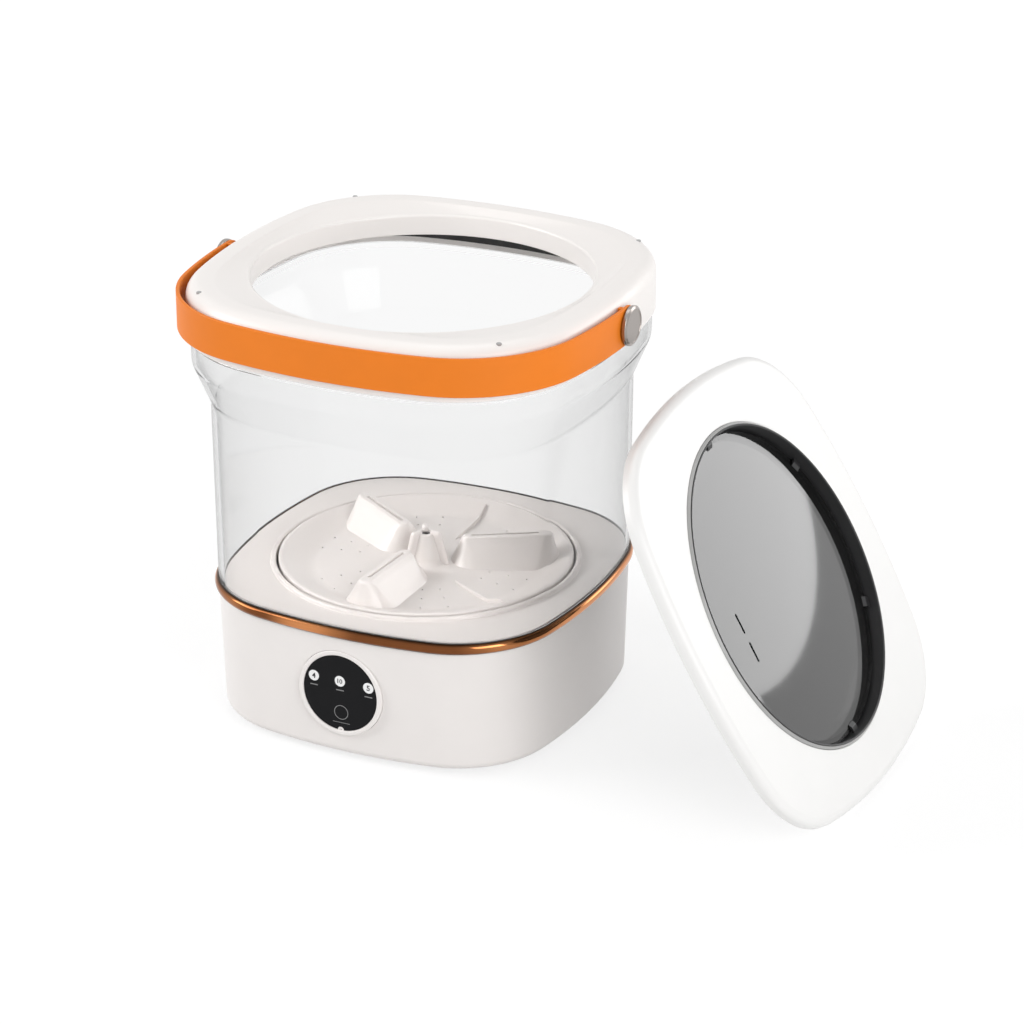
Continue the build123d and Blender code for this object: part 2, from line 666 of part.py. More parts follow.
# Tub floor: plate with a skirt, round sump with a rolled lip, bearing tube, gussets and bracket bosses
with BuildPart() as tub_floor:
    with BuildSketch(Plane.XY.offset(FLOOR_BOTTOM)):
        make_face(outline(BODY, FLOOR_GROW))
    extrude(amount=FLOOR_THICK)
    with BuildSketch(Plane.XY.offset(BASE_TOP)):
        make_face(outline(BODY, FLOOR_GROW))
        make_face(outline(BODY, FLOOR_GROW - FLOOR_EDGE), mode=Mode.SUBTRACT)
    extrude(amount=FLOOR_BOTTOM - BASE_TOP)
    with BuildSketch(Plane.XY.offset(SEAL_GROOVE_BOTTOM)):
        make_face(outline(BODY, FLOOR_GROW))
        make_face(outline(BODY, FLOOR_GROW - SEAL_GROOVE), mode=Mode.SUBTRACT)
    extrude(amount=SEAL_HEIGHT, mode=Mode.SUBTRACT)
    with Locations((0, 0, SUMP_BOTTOM)):
        Cylinder(SUMP_R + SUMP_WALL, SUMP_LIP_TOP - SUMP_BOTTOM, align=UP)
    with Locations((0, 0, SUMP_FLOOR)):
        Cylinder(SUMP_R, SUMP_LIP_TOP - SUMP_FLOOR, align=UP, mode=Mode.SUBTRACT)
    fillet(tub_floor.faces().sort_by(Axis.Z)[-1].edges(), SUMP_LIP_ROUND)
    with Locations((0, 0, BEARING_BOSS_BOTTOM)):
        Cylinder(BEARING_BOSS_R, SUMP_BOTTOM - BEARING_BOSS_BOTTOM, align=UP)
    with Locations((0, 0, SUMP_FLOOR)):
        Cylinder(SEAL_COLLAR_R, SEAL_COLLAR_TOP - SUMP_FLOOR, align=UP)
    for turn in evenly(0, GUSSET_COUNT):
        with BuildSketch(radial(turn)):
            make_face(polygon(
                (BEARING_SHOULDER_R + GUSSET_THICK, SUMP_BOTTOM),
                (GUSSET_REACH, SUMP_BOTTOM),
                (BEARING_BOSS_R, SUMP_BOTTOM - GUSSET_DROP),
                (BEARING_SHOULDER_R + GUSSET_THICK, SUMP_BOTTOM - GUSSET_DROP),
            ))
        extrude(amount=GUSSET_THICK / 2, both=True)
    with Locations((0, 0, UPPER_BEARING_BOTTOM)):
        Cylinder(BEARING_BORE_R, SEAL_COLLAR_TOP - UPPER_BEARING_BOTTOM, align=UP, mode=Mode.SUBTRACT)
    with Locations((0, 0, BEARING_BOSS_BOTTOM)):
        Cylinder(BEARING_BORE_R, LOWER_BEARING_TOP - BEARING_BOSS_BOTTOM, align=UP, mode=Mode.SUBTRACT)
    with Locations((0, 0, LOWER_BEARING_TOP)):
        Cylinder(
            BEARING_SHOULDER_R,
            UPPER_BEARING_BOTTOM - LOWER_BEARING_TOP,
            align=UP,
            mode=Mode.SUBTRACT,
        )
    with Locations((0, DRAIN_AT, SUMP_BOTTOM)):
        Cylinder(DRAIN_BORE_R, FLOOR_THICK, align=UP, mode=Mode.SUBTRACT)
    with Locations(standoffs(BRACKET_TOP)):
        Cylinder(STANDOFF_R, SUMP_BOTTOM - BRACKET_TOP, align=UP)
        Cylinder(SCREW_R, POST_HOLE, align=UP, mode=Mode.SUBTRACT)

# Seal between the tub floor's skirt and the tub's lip
with BuildPart() as floor_seal:
    with BuildSketch(Plane.XY.offset(SEAL_GROOVE_BOTTOM)):
        make_face(outline(BODY, TUB_LIP_INNER - RUNNING))
        make_face(outline(BODY, FLOOR_GROW - SEAL_GROOVE + RUNNING), mode=Mode.SUBTRACT)
    extrude(amount=SEAL_HEIGHT)

# Soft ring between the tub's upper lip and the collar
with BuildPart() as rim_gasket:
    with BuildSketch(Plane.XY.offset(RIM_LIP_TOP)):
        make_face(outline(BODY, RIM_LIP_GROW))
        make_face(outline(BODY, RIM_LIP_INNER), mode=Mode.SUBTRACT)
    extrude(amount=GASKET_TOP - RIM_LIP_TOP)

# Hollow under the collar's crest, round the mouth wall and the funnel
with BuildPart() as collar_space:
    with BuildSketch(Plane.XY.offset(SKIRT_BOTTOM)):
        make_face(outline(BODY, SKIRT_GROW))
    extrude(amount=CREST_BOTTOM - SKIRT_BOTTOM)
    fillet(collar_space.faces().sort_by(Axis.Z)[-1].edges(), CREST_ROUND - COLLAR_WALL)
    with Locations((0, 0, MOUTH_BOTTOM)):
        Cylinder(MOUTH_WALL_R, CREST_BOTTOM - MOUTH_BOTTOM, align=UP, mode=Mode.SUBTRACT)
    with BuildSketch(Plane.XY.offset(FUNNEL_BOTTOM)):
        make_face(round_outline(BODY, MOUTH_WALL_R))
    with BuildSketch(Plane.XY.offset(CREST_BOTTOM)):
        make_face(outline(BODY, FUNNEL_GROW))
    loft(ruled=True, mode=Mode.SUBTRACT)
    with BuildSketch(Plane.XY.offset(GASKET_TOP)):
        make_face(outline(BODY, SEAT_GROW))
        make_face(outline(BODY, SEAT_GROW - COLLAR_WALL), mode=Mode.SUBTRACT)
    extrude(amount=CREST_BOTTOM - GASKET_TOP, mode=Mode.SUBTRACT)
    with Locations(pivots(BOSS_FACE)):
        Cylinder(PIVOT_BOSS_R, PIVOT_BOSS_DEPTH + COLLAR_WALL / 2, align=UP, mode=Mode.SUBTRACT)

# Collar: skirt over the tub's lip, round crest, funnel down to the round mouth, pivot bosses and keys
with BuildPart() as collar:
    with BuildSketch(Plane.XY.offset(SKIRT_BOTTOM)):
        make_face(outline(BODY, COLLAR_GROW))
    extrude(amount=COLLAR_TOP - SKIRT_BOTTOM)
    fillet(collar.faces().sort_by(Axis.Z)[-1].edges(), CREST_ROUND)
    fillet(collar.faces().sort_by(Axis.Z)[0].edges(), SKIRT_ROUND)
    add(collar_space.part, mode=Mode.SUBTRACT)
    with Locations((0, 0, SKIRT_BOTTOM)):
        Cylinder(MOUTH_R, COLLAR_TOP - SKIRT_BOTTOM, align=UP, mode=Mode.SUBTRACT)
    with BuildSketch(Plane.XY.offset(MOUTH_TOP)):
        make_face(round_outline(BODY, MOUTH_R))
    with BuildSketch(Plane.XY.offset(COLLAR_TOP)):
        make_face(outline(BODY, FUNNEL_GROW))
    loft(ruled=True, mode=Mode.SUBTRACT)
    with Locations(pivots(PAD_FACE)):
        Cylinder(PIVOT_PAD_R, COLLAR_WALL, align=DOWN)
    with Locations(pivots(PIN_INNER)):
        Cylinder(PIN_R + FIT, PIN_OUTER - PIN_INNER, align=UP, mode=Mode.SUBTRACT)
    with Locations((0, 0, PIVOT_HEIGHT - STOP_MIDDLE)):
        with GridLocations(2 * (KEY_FACE - COLLAR_WALL), 0, 2, 1):
            Box(2 * COLLAR_WALL, STOP_WIDTH, STOP_FAR - STOP_NEAR)
    with Locations(corners(PLUG_PLACE, PLUG_BOTTOM)):
        Cylinder(PLUG_R + FIT, COLLAR_TOP - PLUG_BOTTOM, align=UP, mode=Mode.SUBTRACT)

# Plugs in the corners of the collar
with BuildPart() as collar_plugs:
    with Locations(corners(PLUG_PLACE, PLUG_BOTTOM)):
        Cylinder(PLUG_R, PLUG_TOP - PLUG_BOTTOM, align=UP)

# Pins that the strap turns on
with BuildPart() as pivot_pins:
    with Locations(pivots(PIN_INNER)):
        Cylinder(PIN_R, PIN_OUTER - PIN_INNER, align=UP)

# Nuts on the pins, inside the collar
with BuildPart() as pivot_nuts:
    for place in pivots(BOSS_FACE - NUT_THICK):
        with BuildSketch(Plane(place)):
            RegularPolygon(NUT_R, 6)
            Circle(PIN_BORE_R, mode=Mode.SUBTRACT)
        extrude(amount=NUT_THICK)

# Washers between the collar's pads and the strap
with BuildPart() as pivot_washers:
    with Locations(pivots(PAD_FACE)):
        Cylinder(WASHER_R, STRAP_INNER_X - PAD_FACE - APART, align=UP)
        Cylinder(PIN_BORE_R, STRAP_INNER_X - PAD_FACE - APART, align=UP, mode=Mode.SUBTRACT)

# Round caps on the ends of the pins
with BuildPart() as pivot_caps:
    with Locations(pivots(CAP_INNER)):
        Cylinder(CAP_R, CAP_THICK, align=UP)
        Cylinder(PIN_BORE_R, PIN_OUTER - CAP_INNER, align=UP, mode=Mode.SUBTRACT)
    for side in (0, -1):
        fillet(pivot_caps.faces().sort_by(Axis.X)[side].edges(), CAP_ROUND)

# Carrying strap: the front half of a band, with round ends about the pivots and two stop stubs a side
with BuildPart() as handle_strap:
    with BuildSketch(Plane.XY.offset(PIVOT_HEIGHT - STRAP_WIDTH / 2)):
        make_face(outline(STRAP))
        make_face(outline(STRAP, -STRAP_THICK), mode=Mode.SUBTRACT)
    extrude(amount=STRAP_WIDTH)
    with BuildSketch(Plane.YZ.offset(-STRAP_HALF_X)):
        with Locations((0, PIVOT_HEIGHT)):
            Circle(STRAP_WIDTH / 2)
            Rectangle(STRAP_HALF_X, STRAP_WIDTH, align=(Align.MAX, Align.CENTER))
    extrude(amount=2 * STRAP_HALF_X, mode=Mode.INTERSECT)
    long_edges = handle_strap.faces().filter_by(Plane.XY).edges().filter_by(
        lambda edge: edge.geom_type == GeomType.CIRCLE
    )
    fillet(long_edges, STRAP_ROUND)
    for height in (-STOP_MIDDLE, STOP_MIDDLE):
        with Locations((0, -STOP_WIDTH - FIT, PIVOT_HEIGHT + height)):
            with GridLocations(STRAP_INNER_X + STUB_FACE, 0, 2, 1):
                Box(STRAP_INNER_X - STUB_FACE + STRAP_THICK / 2, STOP_WIDTH, STOP_FAR - STOP_NEAR)
    with Locations(pivots(STRAP_INNER_X - STRAP_THICK)):
        Cylinder(PIN_BORE_R, 3 * STRAP_THICK, align=UP, mode=Mode.SUBTRACT)

# One paddle of the pulsator, pointing along +X, with a slot in its crest
with BuildPart() as paddle:
    with BuildSketch(Plane.XY.offset(PADDLE_FOOT)):
        make_face(teardrop(PADDLE_INNER_R, PADDLE_OUTER_AT, PADDLE_OUTER_R, PADDLE_INNER_AT))
    crest = Plane(
        origin=(PADDLE_INNER_AT, 0, PADDLE_INNER_TOP),
        x_dir=(PADDLE_OUTER_AT - PADDLE_INNER_AT, 0, PADDLE_OUTER_TOP - PADDLE_INNER_TOP),
        z_dir=(PADDLE_INNER_TOP - PADDLE_OUTER_TOP, 0, PADDLE_OUTER_AT - PADDLE_INNER_AT),
    )
    crest_length = PADDLE_OUTER_AT - PADDLE_INNER_AT
    with BuildSketch(crest):
        make_face(teardrop(PADDLE_CREST_INNER_R, crest_length, PADDLE_CREST_OUTER_R))
    loft(ruled=True)
    fillet(paddle.faces().sort_by(Axis.Z)[-1].edges(), PADDLE_ROUND)
    with BuildSketch(crest):
        with Locations((crest_length / 2, 0)):
            SlotOverall(PADDLE_SLOT_LENGTH, PADDLE_SLOT_WIDTH)
    extrude(amount=-PADDLE_SLOT_DEPTH, mode=Mode.SUBTRACT)

# One thin curved ridge of the pulsator, pointing along +X
with BuildPart() as ridge:
    with BuildSketch(Plane.XY.offset(RIDGE_FOOT)):
        SlotArc(
            Edge.make_three_point_arc(
                (RIDGE_INNER_AT, 0),
                ((RIDGE_INNER_AT + RIDGE_OUTER_AT) / 2, RIDGE_BOW),
                (RIDGE_OUTER_AT, 0),
            ),
            RIDGE_WIDTH,
        )
    extrude(amount=RIDGE_OUTER_TOP - RIDGE_FOOT)
    with BuildSketch(Plane.XZ):
        make_face(polygon(
            (RIDGE_INNER_AT - RIDGE_WIDTH, RIDGE_FOOT),
            (RIDGE_OUTER_AT + RIDGE_WIDTH, RIDGE_FOOT),
            (RIDGE_OUTER_AT + RIDGE_WIDTH, RIDGE_OUTER_TOP),
            (RIDGE_INNER_AT - RIDGE_WIDTH, RIDGE_INNER_TOP),
        ))
    extrude(amount=RIDGE_BOW + RIDGE_WIDTH, both=True, mode=Mode.INTERSECT)

# Pulsator: dished disc with a rolled rim, a finned hub, paddles, ridges and small holes
with BuildPart() as pulsator:
    with BuildSketch(Plane.XZ):
        make_face(polygon(
            (0, HUB_BOTTOM),
            (HUB_TOP_R, HUB_BOTTOM),
            (HUB_FOOT_R, PULSATOR_FIELD + PULSATOR_RISE - PULSATOR_SKIN),
            (PULSATOR_FIELD_R + PULSATOR_SKIN / 4, PULSATOR_FIELD - PULSATOR_SKIN),
            (PULSATOR_R - PULSATOR_RIM_WIDTH, PULSATOR_RIM_TOP - PULSATOR_SKIN - FIT),
            (PULSATOR_R - PULSATOR_RIM_WIDTH, PULSATOR_RIM_BOTTOM),
            (PULSATOR_R, PULSATOR_RIM_BOTTOM),
            (PULSATOR_R, PULSATOR_RIM_TOP),
            (PULSATOR_R - PULSATOR_RIM_WIDTH, PULSATOR_RIM_TOP),
            (PULSATOR_FIELD_R, PULSATOR_FIELD),
            (HUB_FOOT_R, PULSATOR_FIELD + PULSATOR_RISE),
            (HUB_TOP_R, HUB_TOP),
            (0, HUB_TOP),
        ))
    revolve(axis=Axis.Z)
    rim_edges = pulsator.edges().filter_by_position(Axis.Z, PULSATOR_RIM_TOP, PULSATOR_RIM_TOP)
    fillet(rim_edges, PULSATOR_RIM_WIDTH / 2 - FIT)
    for turn in evenly(0, FIN_COUNT):
        with BuildSketch(radial(turn)):
            make_face(polygon(
                (HUB_RECESS_R + FIT, PULSATOR_FIELD),
                (FIN_FOOT_R, PULSATOR_FIELD),
                (FIN_TOP_R, FIN_TOP),
                (HUB_RECESS_R + FIT, FIN_TOP),
            ))
        extrude(amount=FIN_THICK / 2, both=True)
    with PolarLocations(0, PADDLE_COUNT, start_angle=PADDLE_START):
        add(paddle.part)
    with PolarLocations(0, PADDLE_COUNT, start_angle=RIDGE_START):
        add(ridge.part)
    with Locations((0, 0, HUB_BOTTOM)):
        Cylinder(SHAFT_R + FIT, SHAFT_TOP - HUB_BOTTOM, align=UP, mode=Mode.SUBTRACT)
        Cylinder(HUB_SCREW_R + FIT, HUB_TOP - HUB_BOTTOM, align=UP, mode=Mode.SUBTRACT)
    with Locations((0, 0, HUB_RECESS_FLOOR)):
        Cylinder(HUB_RECESS_R, HUB_TOP - HUB_RECESS_FLOOR, align=UP, mode=Mode.SUBTRACT)
    for radius in HOLE_RADII:
        for middle in evenly(RIDGE_START, PADDLE_COUNT):
            turns = [middle + turn for turn in HOLE_TURNS]
            with Locations(around(radius, turns, PULSATOR_FIELD)):
                Cylinder(HOLE_R, 3 * PULSATOR_SKIN, mode=Mode.SUBTRACT)

# Screw that holds the pulsator on the shaft
with BuildPart() as pulsator_screw:
    with Locations((0, 0, HUB_RECESS_FLOOR)):
        Cylinder(HUB_SCREW_HEAD_R, HUB_SCREW_HEAD, align=UP)
        Cylinder(HUB_SCREW_R, HUB_SCREW_LENGTH, align=DOWN)

# Drive shaft, stepped down under the pulley
with BuildPart() as drive_shaft:
    with Locations((0, 0, PULLEY_TOP)):
        Cylinder(SHAFT_R, SHAFT_TOP - PULLEY_TOP, align=UP)
        Cylinder(SHAFT_END_R, PULLEY_TOP - SHAFT_BOTTOM, align=DOWN)
    chamfer(drive_shaft.faces().sort_by(Axis.Z)[-1].edges(), SHAFT_CHAMFER)
    chamfer(drive_shaft.faces().sort_by(Axis.Z)[0].edges(), SHAFT_CHAMFER)
    with Locations((0, 0, SHAFT_TOP)):
        Cylinder(HUB_SCREW_R + FIT / 2, HUB_SCREW_LENGTH, align=DOWN, mode=Mode.SUBTRACT)


def bearing_profile(bottom):
    """Section of a shielded ball bearing, with a shallow groove in both faces."""
    top = bottom + BEARING_HEIGHT
    return polygon(
        (SHAFT_BORE_R, bottom),
        (BEARING_GROOVE_INNER, bottom),
        (BEARING_GROOVE_INNER, bottom + BEARING_GROOVE),
        (BEARING_GROOVE_OUTER, bottom + BEARING_GROOVE),
        (BEARING_GROOVE_OUTER, bottom),
        (BEARING_R, bottom),
        (BEARING_R, top),
        (BEARING_GROOVE_OUTER, top),
        (BEARING_GROOVE_OUTER, top - BEARING_GROOVE),
        (BEARING_GROOVE_INNER, top - BEARING_GROOVE),
        (BEARING_GROOVE_INNER, top),
        (SHAFT_BORE_R, top),
    )


# Bearings in both ends of the bearing tube
with BuildPart() as upper_bearing:
    with BuildSketch(Plane.XZ):
        make_face(bearing_profile(UPPER_BEARING_BOTTOM))
    revolve(axis=Axis.Z)

with BuildPart() as lower_bearing:
    with BuildSketch(Plane.XZ):
        make_face(bearing_profile(LOWER_BEARING_BOTTOM))
    revolve(axis=Axis.Z)

# Rubber seal above the upper bearing
with BuildPart() as shaft_seal:
    with Locations((0, 0, SEAL_BOTTOM)):
        Cylinder(BEARING_R, SHAFT_SEAL_HEIGHT, align=UP)
        Cylinder(SHAFT_BORE_R, SHAFT_SEAL_HEIGHT, align=UP, mode=Mode.SUBTRACT)

# Large pulley: flanged rim, thin web with lightening holes and a hub
with BuildPart() as drive_pulley:
    with BuildSketch(Plane.XZ):
        make_face(polygon(
            (SHAFT_END_R + RUNNING, PULLEY_BOTTOM),
            (DRIVE_HUB_R, PULLEY_BOTTOM),
            (DRIVE_HUB_R, PULLEY_BOTTOM + (PULLEY_HEIGHT - DRIVE_WEB) / 2),
            (DRIVE_SEAT_R - DRIVE_RIM_WALL, PULLEY_BOTTOM + (PULLEY_HEIGHT - DRIVE_WEB) / 2),
            (DRIVE_SEAT_R - DRIVE_RIM_WALL, PULLEY_BOTTOM),
            (DRIVE_FLANGE_R, PULLEY_BOTTOM),
            (DRIVE_FLANGE_R, PULLEY_BOTTOM + FLANGE_EDGE),
            (DRIVE_SEAT_R, PULLEY_BOTTOM + FLANGE_ROOT),
            (DRIVE_SEAT_R, PULLEY_TOP - FLANGE_ROOT),
            (DRIVE_FLANGE_R, PULLEY_TOP - FLANGE_EDGE),
            (DRIVE_FLANGE_R, PULLEY_TOP),
            (DRIVE_SEAT_R - DRIVE_RIM_WALL, PULLEY_TOP),
            (DRIVE_SEAT_R - DRIVE_RIM_WALL, PULLEY_TOP - (PULLEY_HEIGHT - DRIVE_WEB) / 2),
            (DRIVE_HUB_R, PULLEY_TOP - (PULLEY_HEIGHT - DRIVE_WEB) / 2),
            (DRIVE_HUB_R, PULLEY_TOP),
            (SHAFT_END_R + RUNNING, PULLEY_TOP),
        ))
    revolve(axis=Axis.Z)
    with Locations((0, 0, PULLEY_BOTTOM)):
        with PolarLocations(LIGHTENING_AT, LIGHTENING_COUNT):
            Cylinder(LIGHTENING_R, PULLEY_HEIGHT, align=UP, mode=Mode.SUBTRACT)

# Nut under the large pulley
with BuildPart() as pulley_nut:
    with BuildSketch(Plane.XY.offset(PULLEY_BOTTOM - PULLEY_NUT_HEIGHT)):
        RegularPolygon(PULLEY_NUT_R, 6)
        Circle(SHAFT_END_R + RUNNING, mode=Mode.SUBTRACT)
    extrude(amount=PULLEY_NUT_HEIGHT)

# Belt round both pulleys
with BuildPart() as drive_belt:
    with BuildSketch(Plane(origin=(0, 0, BELT_BOTTOM), x_dir=DRIVE_DIRECTION, z_dir=(0, 0, 1))):
        make_face(teardrop(
            DRIVE_SEAT_R + APART + BELT_THICK,
            MOTOR_DISTANCE,
            MOTOR_SEAT_R + APART + BELT_THICK,
        ))
        make_face(
            teardrop(DRIVE_SEAT_R + APART, MOTOR_DISTANCE, MOTOR_SEAT_R + APART),
            mode=Mode.SUBTRACT,
        )
    extrude(amount=BELT_HEIGHT)

# Motor with its boss, blind shaft bore and terminals
with BuildPart() as motor:
    with Locations(motor_at(BRACKET_TOP)):
        Cylinder(MOTOR_R, MOTOR_LENGTH, align=UP)
    fillet(motor.faces().sort_by(Axis.Z)[-1].edges(), MOTOR_ROUND)
    with Locations(motor_at(BRACKET_TOP)):
        Cylinder(MOTOR_BOSS_R, BRACKET_THICK, align=DOWN)
        Cylinder(MOTOR_SHAFT_R + RUNNING, 2 * MOTOR_SHAFT_DEPTH, mode=Mode.SUBTRACT)
    with Locations(motor_at(BRACKET_TOP + MOTOR_LENGTH)):
        with GridLocations(TERMINAL_SPAN, 0, 2, 1):
            Box(TERMINAL_WIDTH, TERMINAL_THICK, TERMINAL_HEIGHT, align=UP)
    with Locations(motor_screws_at(BRACKET_TOP)):
        Cylinder(SCREW_R, SHORT_SCREW, align=UP, mode=Mode.SUBTRACT)

# Motor shaft
with BuildPart() as motor_shaft:
    with Locations(motor_at(MOTOR_SHAFT_BOTTOM)):
        Cylinder(
            MOTOR_SHAFT_R,
            BRACKET_TOP + MOTOR_SHAFT_DEPTH - APART - MOTOR_SHAFT_BOTTOM,
            align=UP,
        )

# Small pulley on the motor shaft
with BuildPart() as motor_pulley:
    with Locations(motor_at(PULLEY_BOTTOM)):
        Cylinder(MOTOR_SEAT_R, PULLEY_HEIGHT, align=UP)
        Cylinder(MOTOR_FLANGE_R, FLANGE_ROOT, align=UP)
    with Locations(motor_at(PULLEY_TOP)):
        Cylinder(MOTOR_FLANGE_R, FLANGE_ROOT, align=DOWN)
        Cylinder(MOTOR_SHAFT_R + RUNNING, PULLEY_HEIGHT, align=DOWN, mode=Mode.SUBTRACT)

# Plate that carries the motor, screwed to the bosses of the tub floor
with BuildPart() as motor_bracket:
    with BuildSketch(Plane.XY.offset(BRACKET_BOTTOM)):
        with Locations([place[:2] for place in standoffs(0)]):
            Circle(BRACKET_EDGE_R)
        with Locations(motor_at(0)[:2]):
            Circle(BRACKET_MOTOR_R)
        make_hull()
        Circle(BRACKET_HUB_HOLE, mode=Mode.SUBTRACT)
        with Locations(motor_at(0)[:2]):
            Circle(MOTOR_BOSS_R + FIT, mode=Mode.SUBTRACT)
        with Locations([place[:2] for place in standoffs(0) + motor_screws_at(0)]):
            Circle(SCREW_R + FIT, mode=Mode.SUBTRACT)
    extrude(amount=BRACKET_THICK)

# Screws of the bracket and of the motor
with BuildPart() as bracket_screws:
    with Locations(standoffs(BRACKET_BOTTOM)):
        Cylinder(SCREW_HEAD_R, SCREW_HEAD, align=DOWN)
        Cylinder(SCREW_R - FIT, SCREW_LENGTH, align=UP)

with BuildPart() as motor_screws:
    with Locations(motor_screws_at(BRACKET_BOTTOM)):
        Cylinder(SCREW_HEAD_R, SCREW_HEAD, align=DOWN)
        Cylinder(SCREW_R - FIT, SHORT_SCREW, align=UP)

# Touch panel: round disc with a notch at its foot
with BuildPart() as control_panel:
    with BuildSketch(FRONT.offset(PANEL_BACK)):
        Circle(PANEL_R)
        with Locations((0, -PANEL_R)):
            Circle(NOTCH_R, mode=Mode.SUBTRACT)
    extrude(amount=PANEL_THICK)
    panel_front = control_panel.faces().sort_by(Axis.Y)[0]
    fillet(panel_front.edges(), PANEL_ROUND)

# Bezel: ring round the panel, ledge and flange behind it, and a tongue in the panel's notch
with BuildPart() as panel_bezel:
    with BuildSketch(radial(0, FRONT)):
        make_face(polygon(
            (BEZEL_BORE_R, BEZEL_FACE),
            (BEZEL_R, BEZEL_FACE),
            (BEZEL_R, BEZEL_FLANGE_FRONT),
            (BEZEL_FLANGE_R, BEZEL_FLANGE_FRONT),
            (BEZEL_FLANGE_R, BEZEL_BACK),
            (BEZEL_BORE_R, BEZEL_BACK),
            (BEZEL_BORE_R, LEDGE_BACK),
            (BEZEL_LEDGE_R, LEDGE_BACK),
            (BEZEL_LEDGE_R, PANEL_BACK),
            (BEZEL_BORE_R, PANEL_BACK),
        ))
    revolve(axis=FRONT_AXIS)
    fillet(panel_bezel.faces().sort_by(Axis.Y)[0].edges(), BEZEL_ROUND)
    with BuildSketch(FRONT.offset(PANEL_BACK)):
        with Locations((0, -PANEL_R)):
            Circle(NOTCH_R - FIT)
    extrude(amount=PANEL_THICK - PANEL_ROUND)
    with BuildSketch(FRONT.offset(PANEL_FACE - PANEL_ROUND)):
        with Locations((0, -PANEL_R + PRY_WIDTH)):
            Rectangle(PRY_LENGTH, PRY_WIDTH)
    extrude(amount=-PRY_DEPTH, mode=Mode.SUBTRACT)
    with BuildSketch(FRONT.offset(LEDGE_BACK)):
        with PolarLocations(BOARD_SCREW_AT, 4, start_angle=45):
            Circle(SMALL_SCREW_R + FIT)
    extrude(amount=BEZEL_LEDGE - FIT, mode=Mode.SUBTRACT)

# Board behind the panel, with a chip on its back
with BuildPart() as control_board:
    with BuildSketch(FRONT.offset(LEDGE_BACK)):
        Circle(BOARD_R)
        with PolarLocations(BOARD_SCREW_AT, 4, start_angle=45):
            Circle(SMALL_SCREW_R + FIT, mode=Mode.SUBTRACT)
    extrude(amount=-BOARD_THICK)
    with BuildSketch(FRONT.offset(LEDGE_BACK - BOARD_THICK)):
        Rectangle(CHIP_LENGTH, CHIP_WIDTH)
    extrude(amount=-CHIP_HEIGHT)

# Screws of the board behind the panel
with BuildPart() as board_screws:
    with BuildSketch(FRONT.offset(LEDGE_BACK - BOARD_THICK)):
        with PolarLocations(BOARD_SCREW_AT, 4, start_angle=45):
            Circle(SMALL_HEAD_R)
    extrude(amount=-SMALL_HEAD)
    with BuildSketch(FRONT.offset(LEDGE_BACK - BOARD_THICK)):
        with PolarLocations(BOARD_SCREW_AT, 4, start_angle=45):
            Circle(SMALL_SCREW_R)
    extrude(amount=BOARD_SCREW_LENGTH)

# Board on the bottom cover that feeds the motor, with two capacitors and a chip
with BuildPart() as drive_board:
    with Locations((DRIVE_BOARD_X, 0, BOARD_BOTTOM)):
        Box(DRIVE_BOARD_WIDTH, DRIVE_BOARD_LENGTH, BOARD_THICK, align=UP)
        with GridLocations(DRIVE_BOARD_WIDTH - 2 * BOARD_EDGE, DRIVE_BOARD_LENGTH - 2 * BOARD_EDGE, 2, 2):
            Cylinder(SMALL_SCREW_R + FIT, BOARD_THICK, align=UP, mode=Mode.SUBTRACT)
    with Locations((DRIVE_BOARD_X, 0, BOARD_TOP)):
        with GridLocations(0, CAPACITOR_SPAN, 1, 2):
            Cylinder(CAPACITOR_R, CAPACITOR_HEIGHT, align=UP)
        with Locations((-CHIP_WIDTH, 0, 0)):
            Box(CHIP_WIDTH / 2, CHIP_LENGTH, CHIP_HEIGHT, align=UP)

with BuildPart() as drive_board_screws:
    with Locations((DRIVE_BOARD_X, 0, BOARD_TOP)):
        with GridLocations(DRIVE_BOARD_WIDTH - 2 * BOARD_EDGE, DRIVE_BOARD_LENGTH - 2 * BOARD_EDGE, 2, 2):
            Cylinder(SMALL_HEAD_R, SMALL_HEAD, align=UP)
            Cylinder(SMALL_SCREW_R - FIT, BOARD_POST, align=DOWN)

# Round power inlet in the back wall, with its centre pin and its nut
with BuildPart() as power_inlet:
    with BuildSketch(BACK.offset(INLET_BACK)):
        with Locations((-INLET_X, INLET_Z)):
            Circle(INLET_R)
    extrude(amount=INLET_PAD_FACE - INLET_BACK)
    with BuildSketch(BACK.offset(INLET_PAD_FACE)):
        with Locations((-INLET_X, INLET_Z)):
            Circle(INLET_FLANGE_R)
    extrude(amount=INLET_FLANGE)
    with BuildSketch(BACK.offset(INLET_PAD_FACE + INLET_FLANGE)):
        with Locations((-INLET_X, INLET_Z)):
            Circle(INLET_BORE_R)
            Circle(INLET_PIN_R, mode=Mode.SUBTRACT)
    extrude(amount=-INLET_BORE_DEPTH, mode=Mode.SUBTRACT)

with BuildPart() as inlet_nut:
    with BuildSketch(BACK.offset(INLET_PAD_BACK)):
        with Locations((-INLET_X, INLET_Z)):
            RegularPolygon(INLET_NUT_R, 6)
            Circle(INLET_R + FIT, mode=Mode.SUBTRACT)
    extrude(amount=-INLET_NUT)

